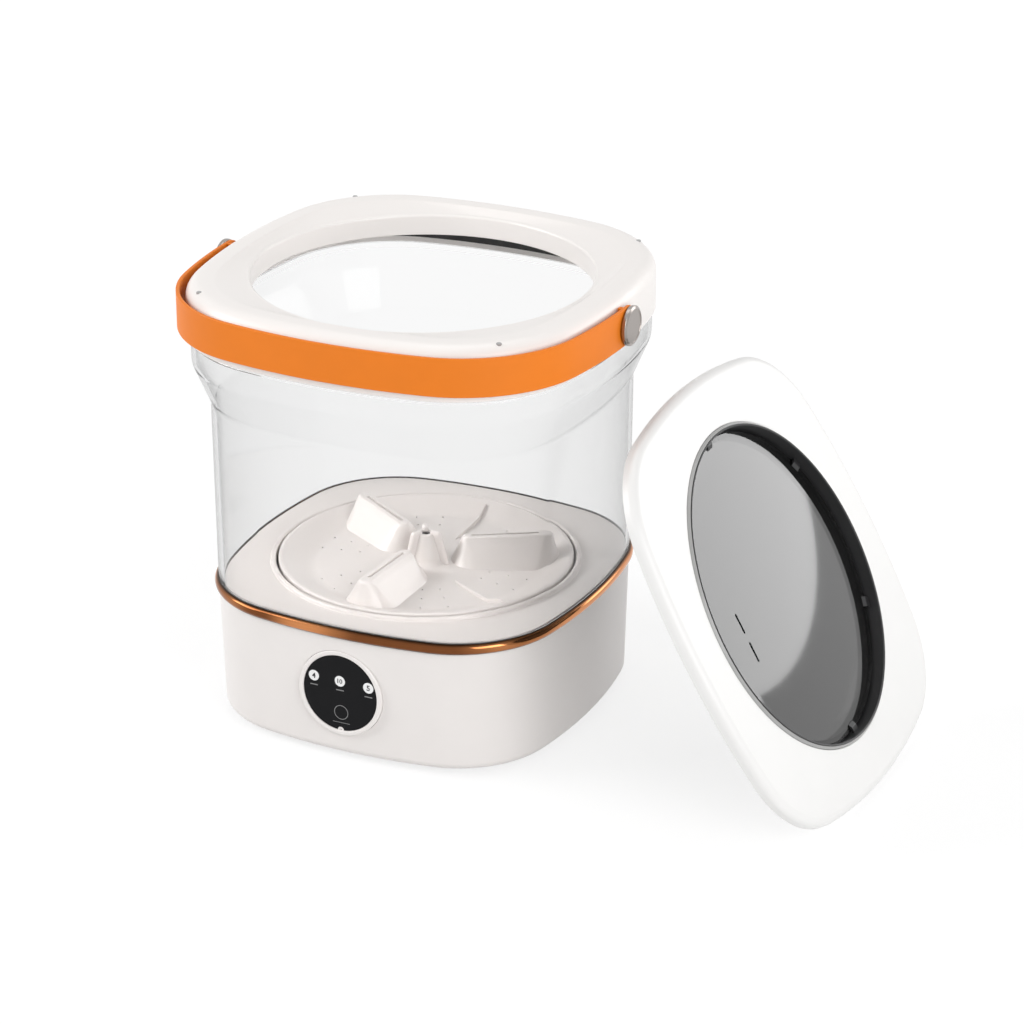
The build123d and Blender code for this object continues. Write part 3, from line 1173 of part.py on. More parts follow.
# Drain elbow from the sump to the back wall
with BuildPart() as drain_elbow:
    with BuildLine(Plane.YZ) as drain_path:
        FilletPolyline(
            (DRAIN_AT, SUMP_BOTTOM),
            (DRAIN_AT, DRAIN_HEIGHT),
            (DRAIN_END, DRAIN_HEIGHT),
            radius=DRAIN_BEND,
        )
    with BuildSketch(Plane.XY.offset(SUMP_BOTTOM)):
        with Locations((0, DRAIN_AT)):
            Circle(DRAIN_R)
            Circle(DRAIN_BORE_R, mode=Mode.SUBTRACT)
    sweep()
    with BuildSketch(Plane.XY.offset(SUMP_BOTTOM)):
        with Locations((0, DRAIN_AT)):
            Circle(DRAIN_FLANGE_R)
            Circle(DRAIN_BORE_R, mode=Mode.SUBTRACT)
    extrude(amount=-DRAIN_FLANGE)

# Stopper in the end of the drain
with BuildPart() as drain_plug:
    with BuildSketch(BACK.offset(DRAIN_END)):
        with Locations((0, DRAIN_HEIGHT)):
            Circle(PLUG_HEAD_R)
    extrude(amount=PLUG_HEAD)
    fillet(drain_plug.faces().sort_by(Axis.Y)[-1].edges(), PLUG_HEAD / 3)
    with BuildSketch(BACK.offset(DRAIN_END)):
        with Locations((0, DRAIN_HEIGHT)):
            Circle(DRAIN_BORE_R - FIT)
    extrude(amount=-PLUG_STEM)

# Hollow under the lid's face, round the window wall
with BuildPart() as lid_space:
    with BuildSketch(LID_PLANE.offset(-LID_THICK)):
        make_face(outline(LID, -LID_WALL))
    extrude(amount=LID_THICK - LID_WALL)
    fillet(lid_space.faces().sort_by(LID_AXIS)[-1].edges(), LID_ROUND - LID_WALL)
    with BuildSketch(LID_PLANE.offset(-LINER_TOP)):
        Circle(LID_BORE_R + LID_RING_WALL)
    extrude(amount=LINER_TOP, mode=Mode.SUBTRACT)

# Lid frame: round-edged shell with a round window bore and screw bosses
with BuildPart() as lid_frame:
    with BuildSketch(LID_PLANE.offset(-LID_THICK)):
        make_face(outline(LID))
    extrude(amount=LID_THICK)
    fillet(lid_frame.faces().sort_by(LID_AXIS)[-1].edges(), LID_ROUND)
    add(lid_space.part, mode=Mode.SUBTRACT)
    with BuildSketch(LID_PLANE.offset(-LID_THICK)):
        Circle(LID_BORE_R)
    extrude(amount=LID_THICK, mode=Mode.SUBTRACT)
    with BuildSketch(LID_PLANE.offset(-LID_BOSS_BOTTOM)):
        with PolarLocations(LID_BOSS_AT, LID_BOSS_COUNT):
            Circle(LID_BOSS_R)
    extrude(amount=LID_BOSS_BOTTOM - LID_WALL)
    with BuildSketch(LID_PLANE.offset(-LID_BOSS_BOTTOM)):
        with PolarLocations(LID_BOSS_AT, LID_BOSS_COUNT):
            Circle(LID_SCREW_R + FIT)
    extrude(amount=LID_BOSS_BOTTOM - LID_WALL, mode=Mode.SUBTRACT)

# Lid liner: plate that closes the lid from below, with the skirt that drops into the mouth
with BuildPart() as lid_liner:
    with BuildSketch(LID_PLANE.offset(-LID_THICK)):
        make_face(outline(LID, -LID_WALL - SLIP))
        Circle(LID_BORE_R, mode=Mode.SUBTRACT)
    extrude(amount=LINER_THICK)
    with BuildSketch(LID_PLANE.offset(-LID_THICK)):
        Circle(LID_BORE_R + SKIRT_WALL)
        Circle(LID_BORE_R, mode=Mode.SUBTRACT)
    extrude(amount=LID_THICK - SKIRT_DEPTH)
    with BuildSketch(LID_PLANE.offset(-LINER_TOP)):
        with PolarLocations(LID_BOSS_AT, LID_BOSS_COUNT):
            Circle(LINER_CUP_R)
    extrude(amount=LINER_TOP - LID_BOSS_BOTTOM)
    with BuildSketch(LID_PLANE.offset(-LID_THICK)):
        with PolarLocations(LID_BOSS_AT, LID_BOSS_COUNT):
            Circle(LID_SCREW_R + SLIP)
    extrude(amount=LID_THICK - LID_BOSS_BOTTOM, mode=Mode.SUBTRACT)
    with BuildSketch(LID_PLANE.offset(-LID_THICK)):
        with PolarLocations(LID_BOSS_AT, LID_BOSS_COUNT):
            Circle(LID_HEAD_R + SLIP)
    extrude(amount=LID_HEAD, mode=Mode.SUBTRACT)

# Screws that hold the liner in the lid
with BuildPart() as lid_screws:
    with BuildSketch(LID_PLANE.offset(-LID_THICK)):
        with PolarLocations(LID_BOSS_AT, LID_BOSS_COUNT):
            Circle(LID_HEAD_R)
    extrude(amount=LID_HEAD)
    with BuildSketch(LID_PLANE.offset(-LID_THICK)):
        with PolarLocations(LID_BOSS_AT, LID_BOSS_COUNT):
            Circle(LID_SCREW_R)
    extrude(amount=LID_THICK - LID_SCREW_TOP)

# Dark ring that holds the window, with a ledge under it and six clips over it
with BuildPart() as window_ring:
    with BuildSketch(radial(0, LID_PLANE)):
        make_face(polygon(
            (LID_BORE_R - FIT, -RING_TOP),
            (LID_BORE_R - RING_WALL, -RING_TOP),
            (LID_BORE_R - RING_WALL, -GLASS_EDGE_BOTTOM),
            (LEDGE_R, -GLASS_EDGE_BOTTOM),
            (LEDGE_R, -RING_BOTTOM),
            (LID_BORE_R - FIT, -RING_BOTTOM),
        ))
    revolve(axis=LID_AXIS)
    for turn in evenly(CLIP_START, CLIP_COUNT):
        with BuildSketch(radial(turn, LID_PLANE)):
            make_face(polygon(
                (LID_BORE_R - 2 * FIT, FIT - GLASS_EDGE_TOP),
                (LID_BORE_R - 2 * FIT, -CLIP_TOP),
                (CLIP_REACH_R + RING_WALL, -CLIP_TOP),
                (CLIP_REACH_R, FIT - GLASS_EDGE_TOP),
            ))
        extrude(amount=CLIP_WIDTH / 2, both=True)

# Slightly domed window with two slits
with BuildPart() as lid_window:
    with BuildSketch(radial(0, LID_PLANE)):
        with BuildLine():
            top = TangentArc((0, GLASS_DOME - GLASS_EDGE_TOP), (GLASS_FLAT_R, -GLASS_EDGE_TOP), tangent=(1, 0))
            rim = Polyline(
                top @ 1,
                (GLASS_R, -GLASS_EDGE_TOP),
                (GLASS_R, -GLASS_EDGE_BOTTOM),
                (GLASS_FLAT_R, -GLASS_EDGE_BOTTOM),
            )
            under = TangentArc(
                (0, GLASS_DOME - GLASS_EDGE_BOTTOM),
                (GLASS_FLAT_R, -GLASS_EDGE_BOTTOM),
                tangent=(1, 0),
            )
            Line(under @ 0, top @ 0)
        make_face()
    revolve(axis=LID_AXIS)
    with BuildSketch(LID_PLANE.offset(-GLASS_EDGE_BOTTOM)):
        with Locations([(SLIT_ACROSS, along) for along in SLIT_ALONG]):
            SlotOverall(SLIT_LENGTH, SLIT_WIDTH, rotation=90)
    extrude(amount=GLASS_EDGE_BOTTOM, mode=Mode.SUBTRACT)

# Soft ring under the liner
with BuildPart() as lid_seal:
    with BuildSketch(LID_PLANE.offset(-LID_THICK)):
        Circle(LID_SEAL_R + LID_SEAL_WIDTH)
        Circle(LID_SEAL_R, mode=Mode.SUBTRACT)
    extrude(amount=-LID_SEAL_HEIGHT)

base_housing.part.label = "base_housing"
bottom_cover.part.label = "bottom_cover"
cover_screws.part.label = "cover_screws"
foot_ring.part.label = "foot_ring"
trim_ring.part.label = "trim_ring"
tub.part.label = "tub"
tub_floor.part.label = "tub_floor"
floor_seal.part.label = "floor_seal"
rim_gasket.part.label = "rim_gasket"
collar.part.label = "collar"
collar_plugs.part.label = "collar_plugs"
pivot_pins.part.label = "pivot_pins"
pivot_nuts.part.label = "pivot_nuts"
pivot_washers.part.label = "pivot_washers"
pivot_caps.part.label = "pivot_caps"
handle_strap.part.label = "handle_strap"
pulsator.part.label = "pulsator"
pulsator_screw.part.label = "pulsator_screw"
drive_shaft.part.label = "drive_shaft"
upper_bearing.part.label = "upper_bearing"
lower_bearing.part.label = "lower_bearing"
shaft_seal.part.label = "shaft_seal"
drive_pulley.part.label = "drive_pulley"
pulley_nut.part.label = "pulley_nut"
drive_belt.part.label = "drive_belt"
motor.part.label = "motor"
motor_shaft.part.label = "motor_shaft"
motor_pulley.part.label = "motor_pulley"
motor_bracket.part.label = "motor_bracket"
bracket_screws.part.label = "bracket_screws"
motor_screws.part.label = "motor_screws"
control_panel.part.label = "control_panel"
panel_bezel.part.label = "panel_bezel"
control_board.part.label = "control_board"
board_screws.part.label = "board_screws"
drive_board.part.label = "drive_board"
drive_board_screws.part.label = "drive_board_screws"
power_inlet.part.label = "power_inlet"
inlet_nut.part.label = "inlet_nut"
drain_elbow.part.label = "drain_elbow"
drain_plug.part.label = "drain_plug"
lid_frame.part.label = "lid_frame"
lid_liner.part.label = "lid_liner"
lid_screws.part.label = "lid_screws"
window_ring.part.label = "window_ring"
lid_window.part.label = "lid_window"
lid_seal.part.label = "lid_seal"

export_step(base_housing.part, "parts/base_housing.step")
export_step(bottom_cover.part, "parts/bottom_cover.step")
export_step(cover_screws.part, "parts/cover_screws.step")
export_step(foot_ring.part, "parts/foot_ring.step")
export_step(trim_ring.part, "parts/trim_ring.step")
export_step(tub.part, "parts/tub.step")
export_step(tub_floor.part, "parts/tub_floor.step")
export_step(floor_seal.part, "parts/floor_seal.step")
export_step(rim_gasket.part, "parts/rim_gasket.step")
export_step(collar.part, "parts/collar.step")
export_step(collar_plugs.part, "parts/collar_plugs.step")
export_step(pivot_pins.part, "parts/pivot_pins.step")
export_step(pivot_nuts.part, "parts/pivot_nuts.step")
export_step(pivot_washers.part, "parts/pivot_washers.step")
export_step(pivot_caps.part, "parts/pivot_caps.step")
export_step(handle_strap.part, "parts/handle_strap.step")
export_step(pulsator.part, "parts/pulsator.step")
export_step(pulsator_screw.part, "parts/pulsator_screw.step")
export_step(drive_shaft.part, "parts/drive_shaft.step")
export_step(upper_bearing.part, "parts/upper_bearing.step")
export_step(lower_bearing.part, "parts/lower_bearing.step")
export_step(shaft_seal.part, "parts/shaft_seal.step")
export_step(drive_pulley.part, "parts/drive_pulley.step")
export_step(pulley_nut.part, "parts/pulley_nut.step")
export_step(drive_belt.part, "parts/drive_belt.step")
export_step(motor.part, "parts/motor.step")
export_step(motor_shaft.part, "parts/motor_shaft.step")
export_step(motor_pulley.part, "parts/motor_pulley.step")
export_step(motor_bracket.part, "parts/motor_bracket.step")
export_step(bracket_screws.part, "parts/bracket_screws.step")
export_step(motor_screws.part, "parts/motor_screws.step")
export_step(control_panel.part, "parts/control_panel.step")
export_step(panel_bezel.part, "parts/panel_bezel.step")
export_step(control_board.part, "parts/control_board.step")
export_step(board_screws.part, "parts/board_screws.step")
export_step(drive_board.part, "parts/drive_board.step")
export_step(drive_board_screws.part, "parts/drive_board_screws.step")
export_step(power_inlet.part, "parts/power_inlet.step")
export_step(inlet_nut.part, "parts/inlet_nut.step")
export_step(drain_elbow.part, "parts/drain_elbow.step")
export_step(drain_plug.part, "parts/drain_plug.step")
export_step(lid_frame.part, "parts/lid_frame.step")
export_step(lid_liner.part, "parts/lid_liner.step")
export_step(lid_screws.part, "parts/lid_screws.step")
export_step(window_ring.part, "parts/window_ring.step")
export_step(lid_window.part, "parts/lid_window.step")
export_step(lid_seal.part, "parts/lid_seal.step")
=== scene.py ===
"""Studio scene of a mini washing machine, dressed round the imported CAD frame.

Sizes in the classes are millimetres in the row frame, and meshes are written in metres.
+Z is up, the control panel faces -Y and the lid leans at +X.
"""

import logging
from collections.abc import Sequence
from dataclasses import dataclass, field
from enum import Enum

import bmesh
import bpy
import numpy as np
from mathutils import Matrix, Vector

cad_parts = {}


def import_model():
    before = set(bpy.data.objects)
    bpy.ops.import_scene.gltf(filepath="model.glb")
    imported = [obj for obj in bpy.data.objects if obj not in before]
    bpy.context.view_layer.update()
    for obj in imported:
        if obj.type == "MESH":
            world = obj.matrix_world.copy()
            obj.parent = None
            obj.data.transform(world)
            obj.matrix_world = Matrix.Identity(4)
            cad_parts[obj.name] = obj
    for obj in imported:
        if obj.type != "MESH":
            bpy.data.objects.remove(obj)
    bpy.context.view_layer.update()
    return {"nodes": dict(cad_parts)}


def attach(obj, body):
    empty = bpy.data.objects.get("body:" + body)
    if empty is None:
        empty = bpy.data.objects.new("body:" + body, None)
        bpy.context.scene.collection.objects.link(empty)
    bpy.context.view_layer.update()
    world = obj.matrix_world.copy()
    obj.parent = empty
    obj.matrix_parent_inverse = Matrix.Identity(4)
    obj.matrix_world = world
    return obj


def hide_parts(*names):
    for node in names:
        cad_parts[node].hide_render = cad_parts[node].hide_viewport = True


MM = 0.001
WELD = 1e-6
ARC_STEP = 12.0
SHARP = np.radians(38.0)
Array = np.ndarray
Colour = tuple[float, float, float]
log = logging.getLogger("washer")


class Slot(Enum):
    """The record's material slots."""

    WHITE = "white_plastic"
    CLEAR = "clear_plastic"
    COPPER = "copper_trim"
    STRAP = "strap"
    CAP = "cap_metal"
    STEEL = "steel"
    ALUMINIUM = "aluminium"
    PANEL = "black_panel"
    DARK = "dark_plastic"
    SMOKED = "smoked"
    RUBBER_DARK = "rubber_dark"
    RUBBER_GREY = "rubber_grey"
    BOARD = "board"
    MOTOR = "motor_case"


# Shapes


@dataclass(frozen=True)
class Shell:
    """One closed surface: points in millimetres and quads."""

    points: Array
    faces: Array

    def placed(self, place: "Place") -> "Shell":
        """The shell carried from a place's own axes to the row frame."""
        return Shell(place.to_row(self.points), self.faces)


@dataclass(frozen=True)
class Place:
    """A local frame: row point = origin + u * u_dir + v * v_dir + n * n_dir."""

    origin: tuple[float, float, float]
    u_dir: tuple[float, float, float]
    n_dir: tuple[float, float, float]

    def to_row(self, points: Array) -> Array:
        """Carries local points (..., 3) to the row frame."""
        u_dir, n_dir = np.array(self.u_dir), np.array(self.n_dir)
        axes = np.stack([u_dir, np.cross(n_dir, u_dir), n_dir])
        return np.array(self.origin) + points @ axes


def weave(grid: Array, closed_rows: bool = True) -> Shell:
    """Quads over a grid of points whose columns close on themselves.

    Args:
        grid: rows x columns x 3 points.
        closed_rows: whether the last row joins the first.

    Returns:
        The shell, in which corner (r, c) has the number r * columns + c.
    """
    rows, columns = grid.shape[:2]
    row, column = np.meshgrid(
        np.arange(rows if closed_rows else rows - 1), np.arange(columns), indexing="ij"
    )
    below, beside = (row + 1) % rows, (column + 1) % columns
    faces = np.stack(
        [
            row * columns + column,
            row * columns + beside,
            below * columns + beside,
            below * columns + column,
        ],
        -1,
    )
    return Shell(grid.reshape(-1, 3), faces.reshape(-1, 4))


def joined(shells: Sequence[Shell]) -> Shell:
    """Several shells as one, with the face numbers moved on."""
    starts = np.cumsum([0] + [len(each.points) for each in shells[:-1]])
    points = np.concatenate([each.points for each in shells])
    faces = np.concatenate([each.faces + start for each, start in zip(shells, starts)])
    return Shell(points, faces)


def bend(centre: tuple[float, float], radius: float, start: float, end: float) -> Array:
    """Points on an arc, centre + radius * (cos, sin), between two directions in degrees."""
    steps = max(2, int(np.ceil(abs(end - start) / ARC_STEP))) + 1
    turn = np.radians(np.linspace(start, end, steps))
    return np.array(centre) + radius * np.stack([np.cos(turn), np.sin(turn)], -1)


def rounded(corners: Sequence[tuple[float, ...]], closed: bool = True) -> Array:
    """A profile whose corners are arcs.

    Each corner is (across, height) or (across, height, radius). Its arc touches both legs at
    radius / tan(half the angle between them) from the corner, and is swept by turning the
    direction from the arc's centre evenly from one touching point to the other.

    Args:
        corners: the corners in order.
        closed: whether the last leg returns to the first corner.

    Returns:
        Points x 2.
    """
    flat = np.array([corner[:2] for corner in corners], float)
    radii = [corner[2] if len(corner) > 2 else 0.0 for corner in corners]
    pieces = []
    for index, radius in enumerate(radii):
        here = flat[index]
        is_end = not closed and index in (0, len(radii) - 1)
        if radius <= 0 or is_end:
            pieces.append(here[None])
            continue
        back, ahead = flat[index - 1] - here, flat[(index + 1) % len(flat)] - here
        back, ahead = back / np.hypot(*back), ahead / np.hypot(*ahead)
        half = np.arccos(np.clip(back @ ahead, -1, 1)) / 2
        middle = (back + ahead) / np.hypot(*(back + ahead))
        centre = here + middle * radius / np.sin(half)
        first = here + back * radius / np.tan(half) - centre
        last = here + ahead * radius / np.tan(half) - centre
        sweep = np.pi - 2 * half
        steps = max(2, int(np.ceil(np.degrees(sweep) / ARC_STEP)))
        share = np.linspace(0, 1, steps + 1)[:, None]
        turned = np.sin((1 - share) * sweep) * first + np.sin(share * sweep) * last
        turned = turned / np.sin(sweep)
        pieces.append(centre + turned)
    return np.concatenate(pieces)


def on_square(profile: Array) -> Array:
    """Stations on the square outline: (grow, no circle, share 0, height)."""
    blank = np.zeros(len(profile))
    return np.stack([profile[:, 0], blank, blank, profile[:, 1]], -1)


def on_circle(profile: Array) -> Array:
    """Stations on a circle: (no grow, radius, share 1, height)."""
    blank = np.zeros(len(profile))
    return np.stack([blank, profile[:, 0], blank + 1, profile[:, 1]], -1)


def from_square_to_circle(
    square: tuple[float, float], circle: tuple[float, float], steps: int = 6, ease: float = 0.0
) -> Array:
    """Stations of a surface that runs from the square outline to a circle.

    The share s of the circle goes evenly from 0 to 1. The height is mixed by s, pulled by
    ease towards the smooth step 3 s^2 - 2 s^3.

    Args:
        square: grow and height at the outline.
        circle: radius and height at the circle.
        steps: quads between them.
        ease: 0 for a straight run, 1 for a soft one.

    Returns:
        Stations x 4, both ends included.
    """
    share = np.linspace(0, 1, steps + 1)
    soft = share + ease * (share**2 * (3 - 2 * share) - share)
    blank = np.zeros_like(share)
    height = square[1] + soft * (circle[1] - square[1])
    return np.stack([blank + square[0], blank + circle[0], share, height], -1)


@dataclass(frozen=True)
class Outline:
    """Plan outline of a square with bulged sides and round corners."""

    half_x: float
    half_y: float
    side: float
    corner: float
    side_steps: int = 22
    corner_steps: int = 26

    def spokes(self) -> tuple[Array, Array, Array]:
        """The outline by the direction of its outward normal.

        Returns:
            Directions in radians, the centre of the arc at each, and its radius.
        """
        drop_x, drop_y = self.side - self.half_x, self.side - self.half_y
        apart = np.hypot(drop_x, drop_y)
        rise = np.sqrt((self.side - self.corner) ** 2 - (apart / 2) ** 2)
        x = rise * drop_y / apart - drop_x / 2
        y = rise * drop_x / apart - drop_y / 2
        low = np.degrees(np.arctan2(y, x + drop_x))
        high = np.degrees(np.arctan2(y + drop_y, x))
        runs = [
            (-low, low, (-drop_x, 0), self.side),
            (low, high, (x, y), self.corner),
            (high, 180 - high, (0, -drop_y), self.side),
            (180 - high, 180 - low, (-x, y), self.corner),
            (180 - low, 180 + low, (drop_x, 0), self.side),
            (180 + low, 180 + high, (-x, -y), self.corner),
            (180 + high, 360 - high, (0, drop_y), self.side),
            (360 - high, 360 - low, (x, -y), self.corner),
        ]
        counts = [self.side_steps, self.corner_steps] * 4
        turns = [
            np.linspace(start, end, count, endpoint=False)
            for (start, end, _, _), count in zip(runs, counts)
        ]
        centres = np.repeat(np.array([run[2] for run in runs], float), counts, axis=0)
        radii = np.repeat(np.array([run[3] for run in runs], float), counts)
        return np.radians(np.concatenate(turns)), centres, radii

    def carry(self, stations: Array) -> Array:
        """Carries stations round the outline.

        A point is (1 - share) * (arc centre + (arc radius + grow) * normal)
        + share * circle radius * normal, at the station's height.

        Args:
            stations: rows of (grow, circle radius, share, height).

        Returns:
            Stations x spokes x 3 points.
        """
        turns, centres, radii = self.spokes()
        normals = np.stack([np.cos(turns), np.sin(turns)], -1)
        grow, radius, share, height = (column[:, None, None] for column in stations.T)
        square = centres + (radii[:, None] + grow) * normals
        flat = (1 - share) * square + share * radius * normals
        return np.concatenate([flat, np.broadcast_to(height, flat.shape[:2] + (1,))], -1)

    def wall(self, *stations: Array) -> Shell:
        """A closed ring-shaped solid whose section runs through the stations."""
        return weave(self.carry(np.concatenate(stations)))


def turned(profile: Array, steps: int = 128, closed: bool = True) -> Shell:
    """A solid of revolution, (radius * cos, radius * sin, height) round the local n axis.

    Args:
        profile: points of (radius, height).
        steps: quads round the axis.
        closed: whether the profile returns to its start, as a ring's does.

    Returns:
        The shell, whose poles are points with radius 0.
    """
    turn = np.linspace(0, 2 * np.pi, steps, endpoint=False)
    radius, height = profile[:, 0, None], profile[:, 1, None]
    grid = np.stack(
        [radius * np.cos(turn), radius * np.sin(turn), height + 0 * turn], -1
    )
    return weave(grid, closed)


def pillar(radius: float, bottom: float, top: float, edge: float = 0.3, steps: int = 32) -> Shell:
    """A round pin along the local n axis, with slightly rounded ends."""
    corners = [(0, bottom), (radius, bottom, edge), (radius, top, edge), (0, top)]
    return turned(rounded(corners, closed=False), steps, closed=False)


def long_ring(stations: Array, steps: int = 24) -> Shell:
    """A solid over the hull of two circles on the local u axis.

    The half of each ring whose normal points along +u lies on the last circle and the other
    half on the first: point = (centre + radius * cos, radius * sin, height).

    Args:
        stations: rows of (first centre, radius, height, last centre, radius, height).
        steps: quads round each half.

    Returns:
        The shell, closed by its first and last stations where their radii are 0.
    """
    turn = np.linspace(-0.5, 0.5, steps + 1) * np.pi
    turn = np.concatenate([turn, turn + np.pi])
    is_last = np.arange(len(turn)) <= steps
    centre, radius, height = (
        np.where(is_last, stations[:, 3 + k, None], stations[:, k, None]) for k in range(3)
    )
    grid = np.stack([centre + radius * np.cos(turn), radius * np.sin(turn), height], -1)
    return weave(grid, closed_rows=False)


def block(low: tuple[float, float, float], high: tuple[float, float, float], edge: float) -> Shell:
    """A box with rounded upright edges and small chamfers above and below.

    The plan is a rectangle whose corners are quarter arcs; the stations draw it in by edge
    at the bottom and the top, and close it to the middle.

    Args:
        low: lowest corner.
        high: highest corner.
        edge: radius of the upright edges and reach of the chamfers.

    Returns:
        The shell.
    """
    middle = (np.array(low[:2]) + np.array(high[:2])) / 2
    half = (np.array(high[:2]) - np.array(low[:2])) / 2
    turn = np.radians(np.arange(0, 360, 15) + 7.5)
    quadrant = np.sign(np.stack([np.cos(turn), np.sin(turn)], -1))
    normals = np.stack([np.cos(turn), np.sin(turn)], -1)
    full = quadrant * (half - edge) + edge * normals
    drawn_in = quadrant * (half - edge) + edge * 0.4 * normals
    rings = [full * 0, drawn_in, full, full, drawn_in, full * 0]
    heights = [low[2], low[2], low[2] + edge * 0.6, high[2] - edge * 0.6, high[2], high[2]]
    grid = np.stack(
        [np.concatenate([ring + middle, np.full((len(turn), 1), z)], -1)
         for ring, z in zip(rings, heights)]
    )
    return weave(grid, closed_rows=False)


def mesh_of(name: str, shell: Shell) -> bpy.types.Mesh:
    """Writes a shell into a new mesh, in metres, with poles welded and faces outward.

    Args:
        name: name of the mesh.
        shell: points in millimetres and quads.

    Returns:
        The mesh, smooth except across edges sharper than SHARP.
    """
    mesh = bpy.data.meshes.new(name)
    mesh.vertices.add(len(shell.points))
    mesh.vertices.foreach_set("co", (shell.points * MM).astype(np.float32).ravel())
    mesh.loops.add(shell.faces.size)
    mesh.loops.foreach_set("vertex_index", shell.faces.astype(np.int32).ravel())
    mesh.polygons.add(len(shell.faces))
    mesh.polygons.foreach_set("loop_start", np.arange(0, shell.faces.size, 4, dtype=np.int32))
    mesh.update(calc_edges=True)
    work = bmesh.new()
    work.from_mesh(mesh)
    bmesh.ops.remove_doubles(work, verts=work.verts, dist=WELD)
    bmesh.ops.dissolve_degenerate(work, edges=work.edges, dist=WELD)
    bmesh.ops.recalc_face_normals(work, faces=work.faces)
    work.to_mesh(mesh)
    work.free()
    smooth(mesh)
    return mesh


def smooth(mesh: bpy.types.Mesh) -> None:
    """Shades a mesh smooth, with its sharp edges kept."""
    mesh.polygons.foreach_set("use_smooth", np.ones(len(mesh.polygons), bool))
    mesh.set_sharp_from_angle(angle=SHARP)


def combine(first: bpy.types.Object, other: Shell, operation: str) -> None:
    """Applies an exact Boolean of a shell to an object's mesh.

    Args:
        first: the object whose mesh is replaced by the result.
        other: the shell that is added or cut away.
        operation: UNION or DIFFERENCE.
    """
    tool = bpy.data.objects.new("tool", mesh_of("tool", other))
    bpy.context.scene.collection.objects.link(tool)
    step = first.modifiers.new("combine", "BOOLEAN")
    step.operation = operation
    step.solver = "EXACT"
    step.object = tool
    graph = bpy.context.evaluated_depsgraph_get()
    result = bpy.data.meshes.new_from_object(first.evaluated_get(graph))
    first.modifiers.clear()
    first.data = result
    tool_mesh = tool.data
    bpy.data.objects.remove(tool)
    bpy.data.meshes.remove(tool_mesh)
    smooth(result)


@dataclass(frozen=True)
class Piece:
    """A new piece: its name, body, slot and the CAD nodes that it stands for."""

    name: str
    body: str
    slot: Slot
    stands_for: tuple[str, ...] = ()

    def build(
        self,
        shell: Shell,
        material: bpy.types.Material,
        cut: Sequence[Shell] = (),
        add: Sequence[Shell] = (),
    ) -> bpy.types.Object:
        """Makes the object at the origin, rides it on its body and dresses it.

        Args:
            shell: the main surface.
            material: its finish.
            cut: shells that are cut away.
            add: shells that are fused on.

        Returns:
            The finished object.
        """
        made = bpy.data.objects.new(self.name, mesh_of(self.name, shell))
        bpy.context.scene.collection.objects.link(made)
        if add:
            combine(made, joined(add), "UNION")
        if cut:
            combine(made, joined(cut), "DIFFERENCE")
        made.data.materials.clear()
        made.data.materials.append(material)
        weights = made.modifiers.new("even shading", "WEIGHTED_NORMAL")
        weights.keep_sharp = True
        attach(made, self.body)
        if self.stands_for:
            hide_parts(*self.stands_for)
        log.info("%s: %d faces", self.name, len(made.data.polygons))
        return made


# Finishes


class Tree:
    """A node tree with short calls to add and join nodes."""

    def __init__(self, tree: bpy.types.NodeTree) -> None:
        """Keeps the tree that nodes are added to."""
        self.tree = tree

    def add(self, kind: str, settings: dict | None = None, **inputs: object) -> bpy.types.Node:
        """Adds a node and sets or links its inputs.

        Args:
            kind: the node's type name.
            settings: attributes of the node.
            inputs: socket names, with _ for a space, and a value or an output socket each.

        Returns:
            The node.
        """
        node = self.tree.nodes.new(kind)
        for name, value in (settings or {}).items():
            setattr(node, name, value)
        for name, value in inputs.items():
            socket = node.inputs[int(name[1:])] if name[0] == "i" and name[1:].isdigit() else (
                node.inputs[name.replace("_", " ")]
            )
            if isinstance(value, bpy.types.NodeSocket):
                self.tree.links.new(value, socket)
            else:
                socket.default_value = value
        return node

    def math(self, operation: str, *values: object) -> bpy.types.NodeSocket:
        """The result of a maths node on two or three values or sockets."""
        inputs = {f"i{index}": value for index, value in enumerate(values)}
        return self.add("ShaderNodeMath", {"operation": operation}, **inputs).outputs[0]

    def step(
        self, value: bpy.types.NodeSocket, start: object, end: object, low: float = 0.0,
        high: float = 1.0,
    ) -> bpy.types.NodeSocket:
        """Smooth step of a value between two limits.

        Args:
            value: what is measured.
            start: where the step starts.
            end: where it ends; it may lie below the start.
            low: result before the start.
            high: result past the end.

        Returns:
            The result's socket.
        """
        return self.add(
            "ShaderNodeMapRange", {"interpolation_type": "SMOOTHSTEP"},
            Value=value, From_Min=start, From_Max=end, To_Min=low, To_Max=high,
        ).outputs[0]

    def link(self, start: bpy.types.NodeSocket, end: bpy.types.NodeSocket) -> None:
        """Joins an output to an input."""
        self.tree.links.new(start, end)


def new_group(name: str, inputs: dict[str, float | Colour], outputs: dict[str, str]) -> Tree:
    """Makes an empty shader group with named sockets.

    Args:
        name: name of the group.
        inputs: socket names and default values; a tuple makes a colour.
        outputs: socket names and socket types.

    Returns:
        The group's tree.
    """
    tree = bpy.data.node_groups.new(name, "ShaderNodeTree")
    for label, value in inputs.items():
        kind = "NodeSocketColor" if isinstance(value, tuple) else "NodeSocketFloat"
        socket = tree.interface.new_socket(label, in_out="INPUT", socket_type=kind)
        socket.default_value = (*value, 1.0) if isinstance(value, tuple) else value
    for label, kind in outputs.items():
        tree.interface.new_socket(label, in_out="OUTPUT", socket_type=kind)
    return Tree(tree)


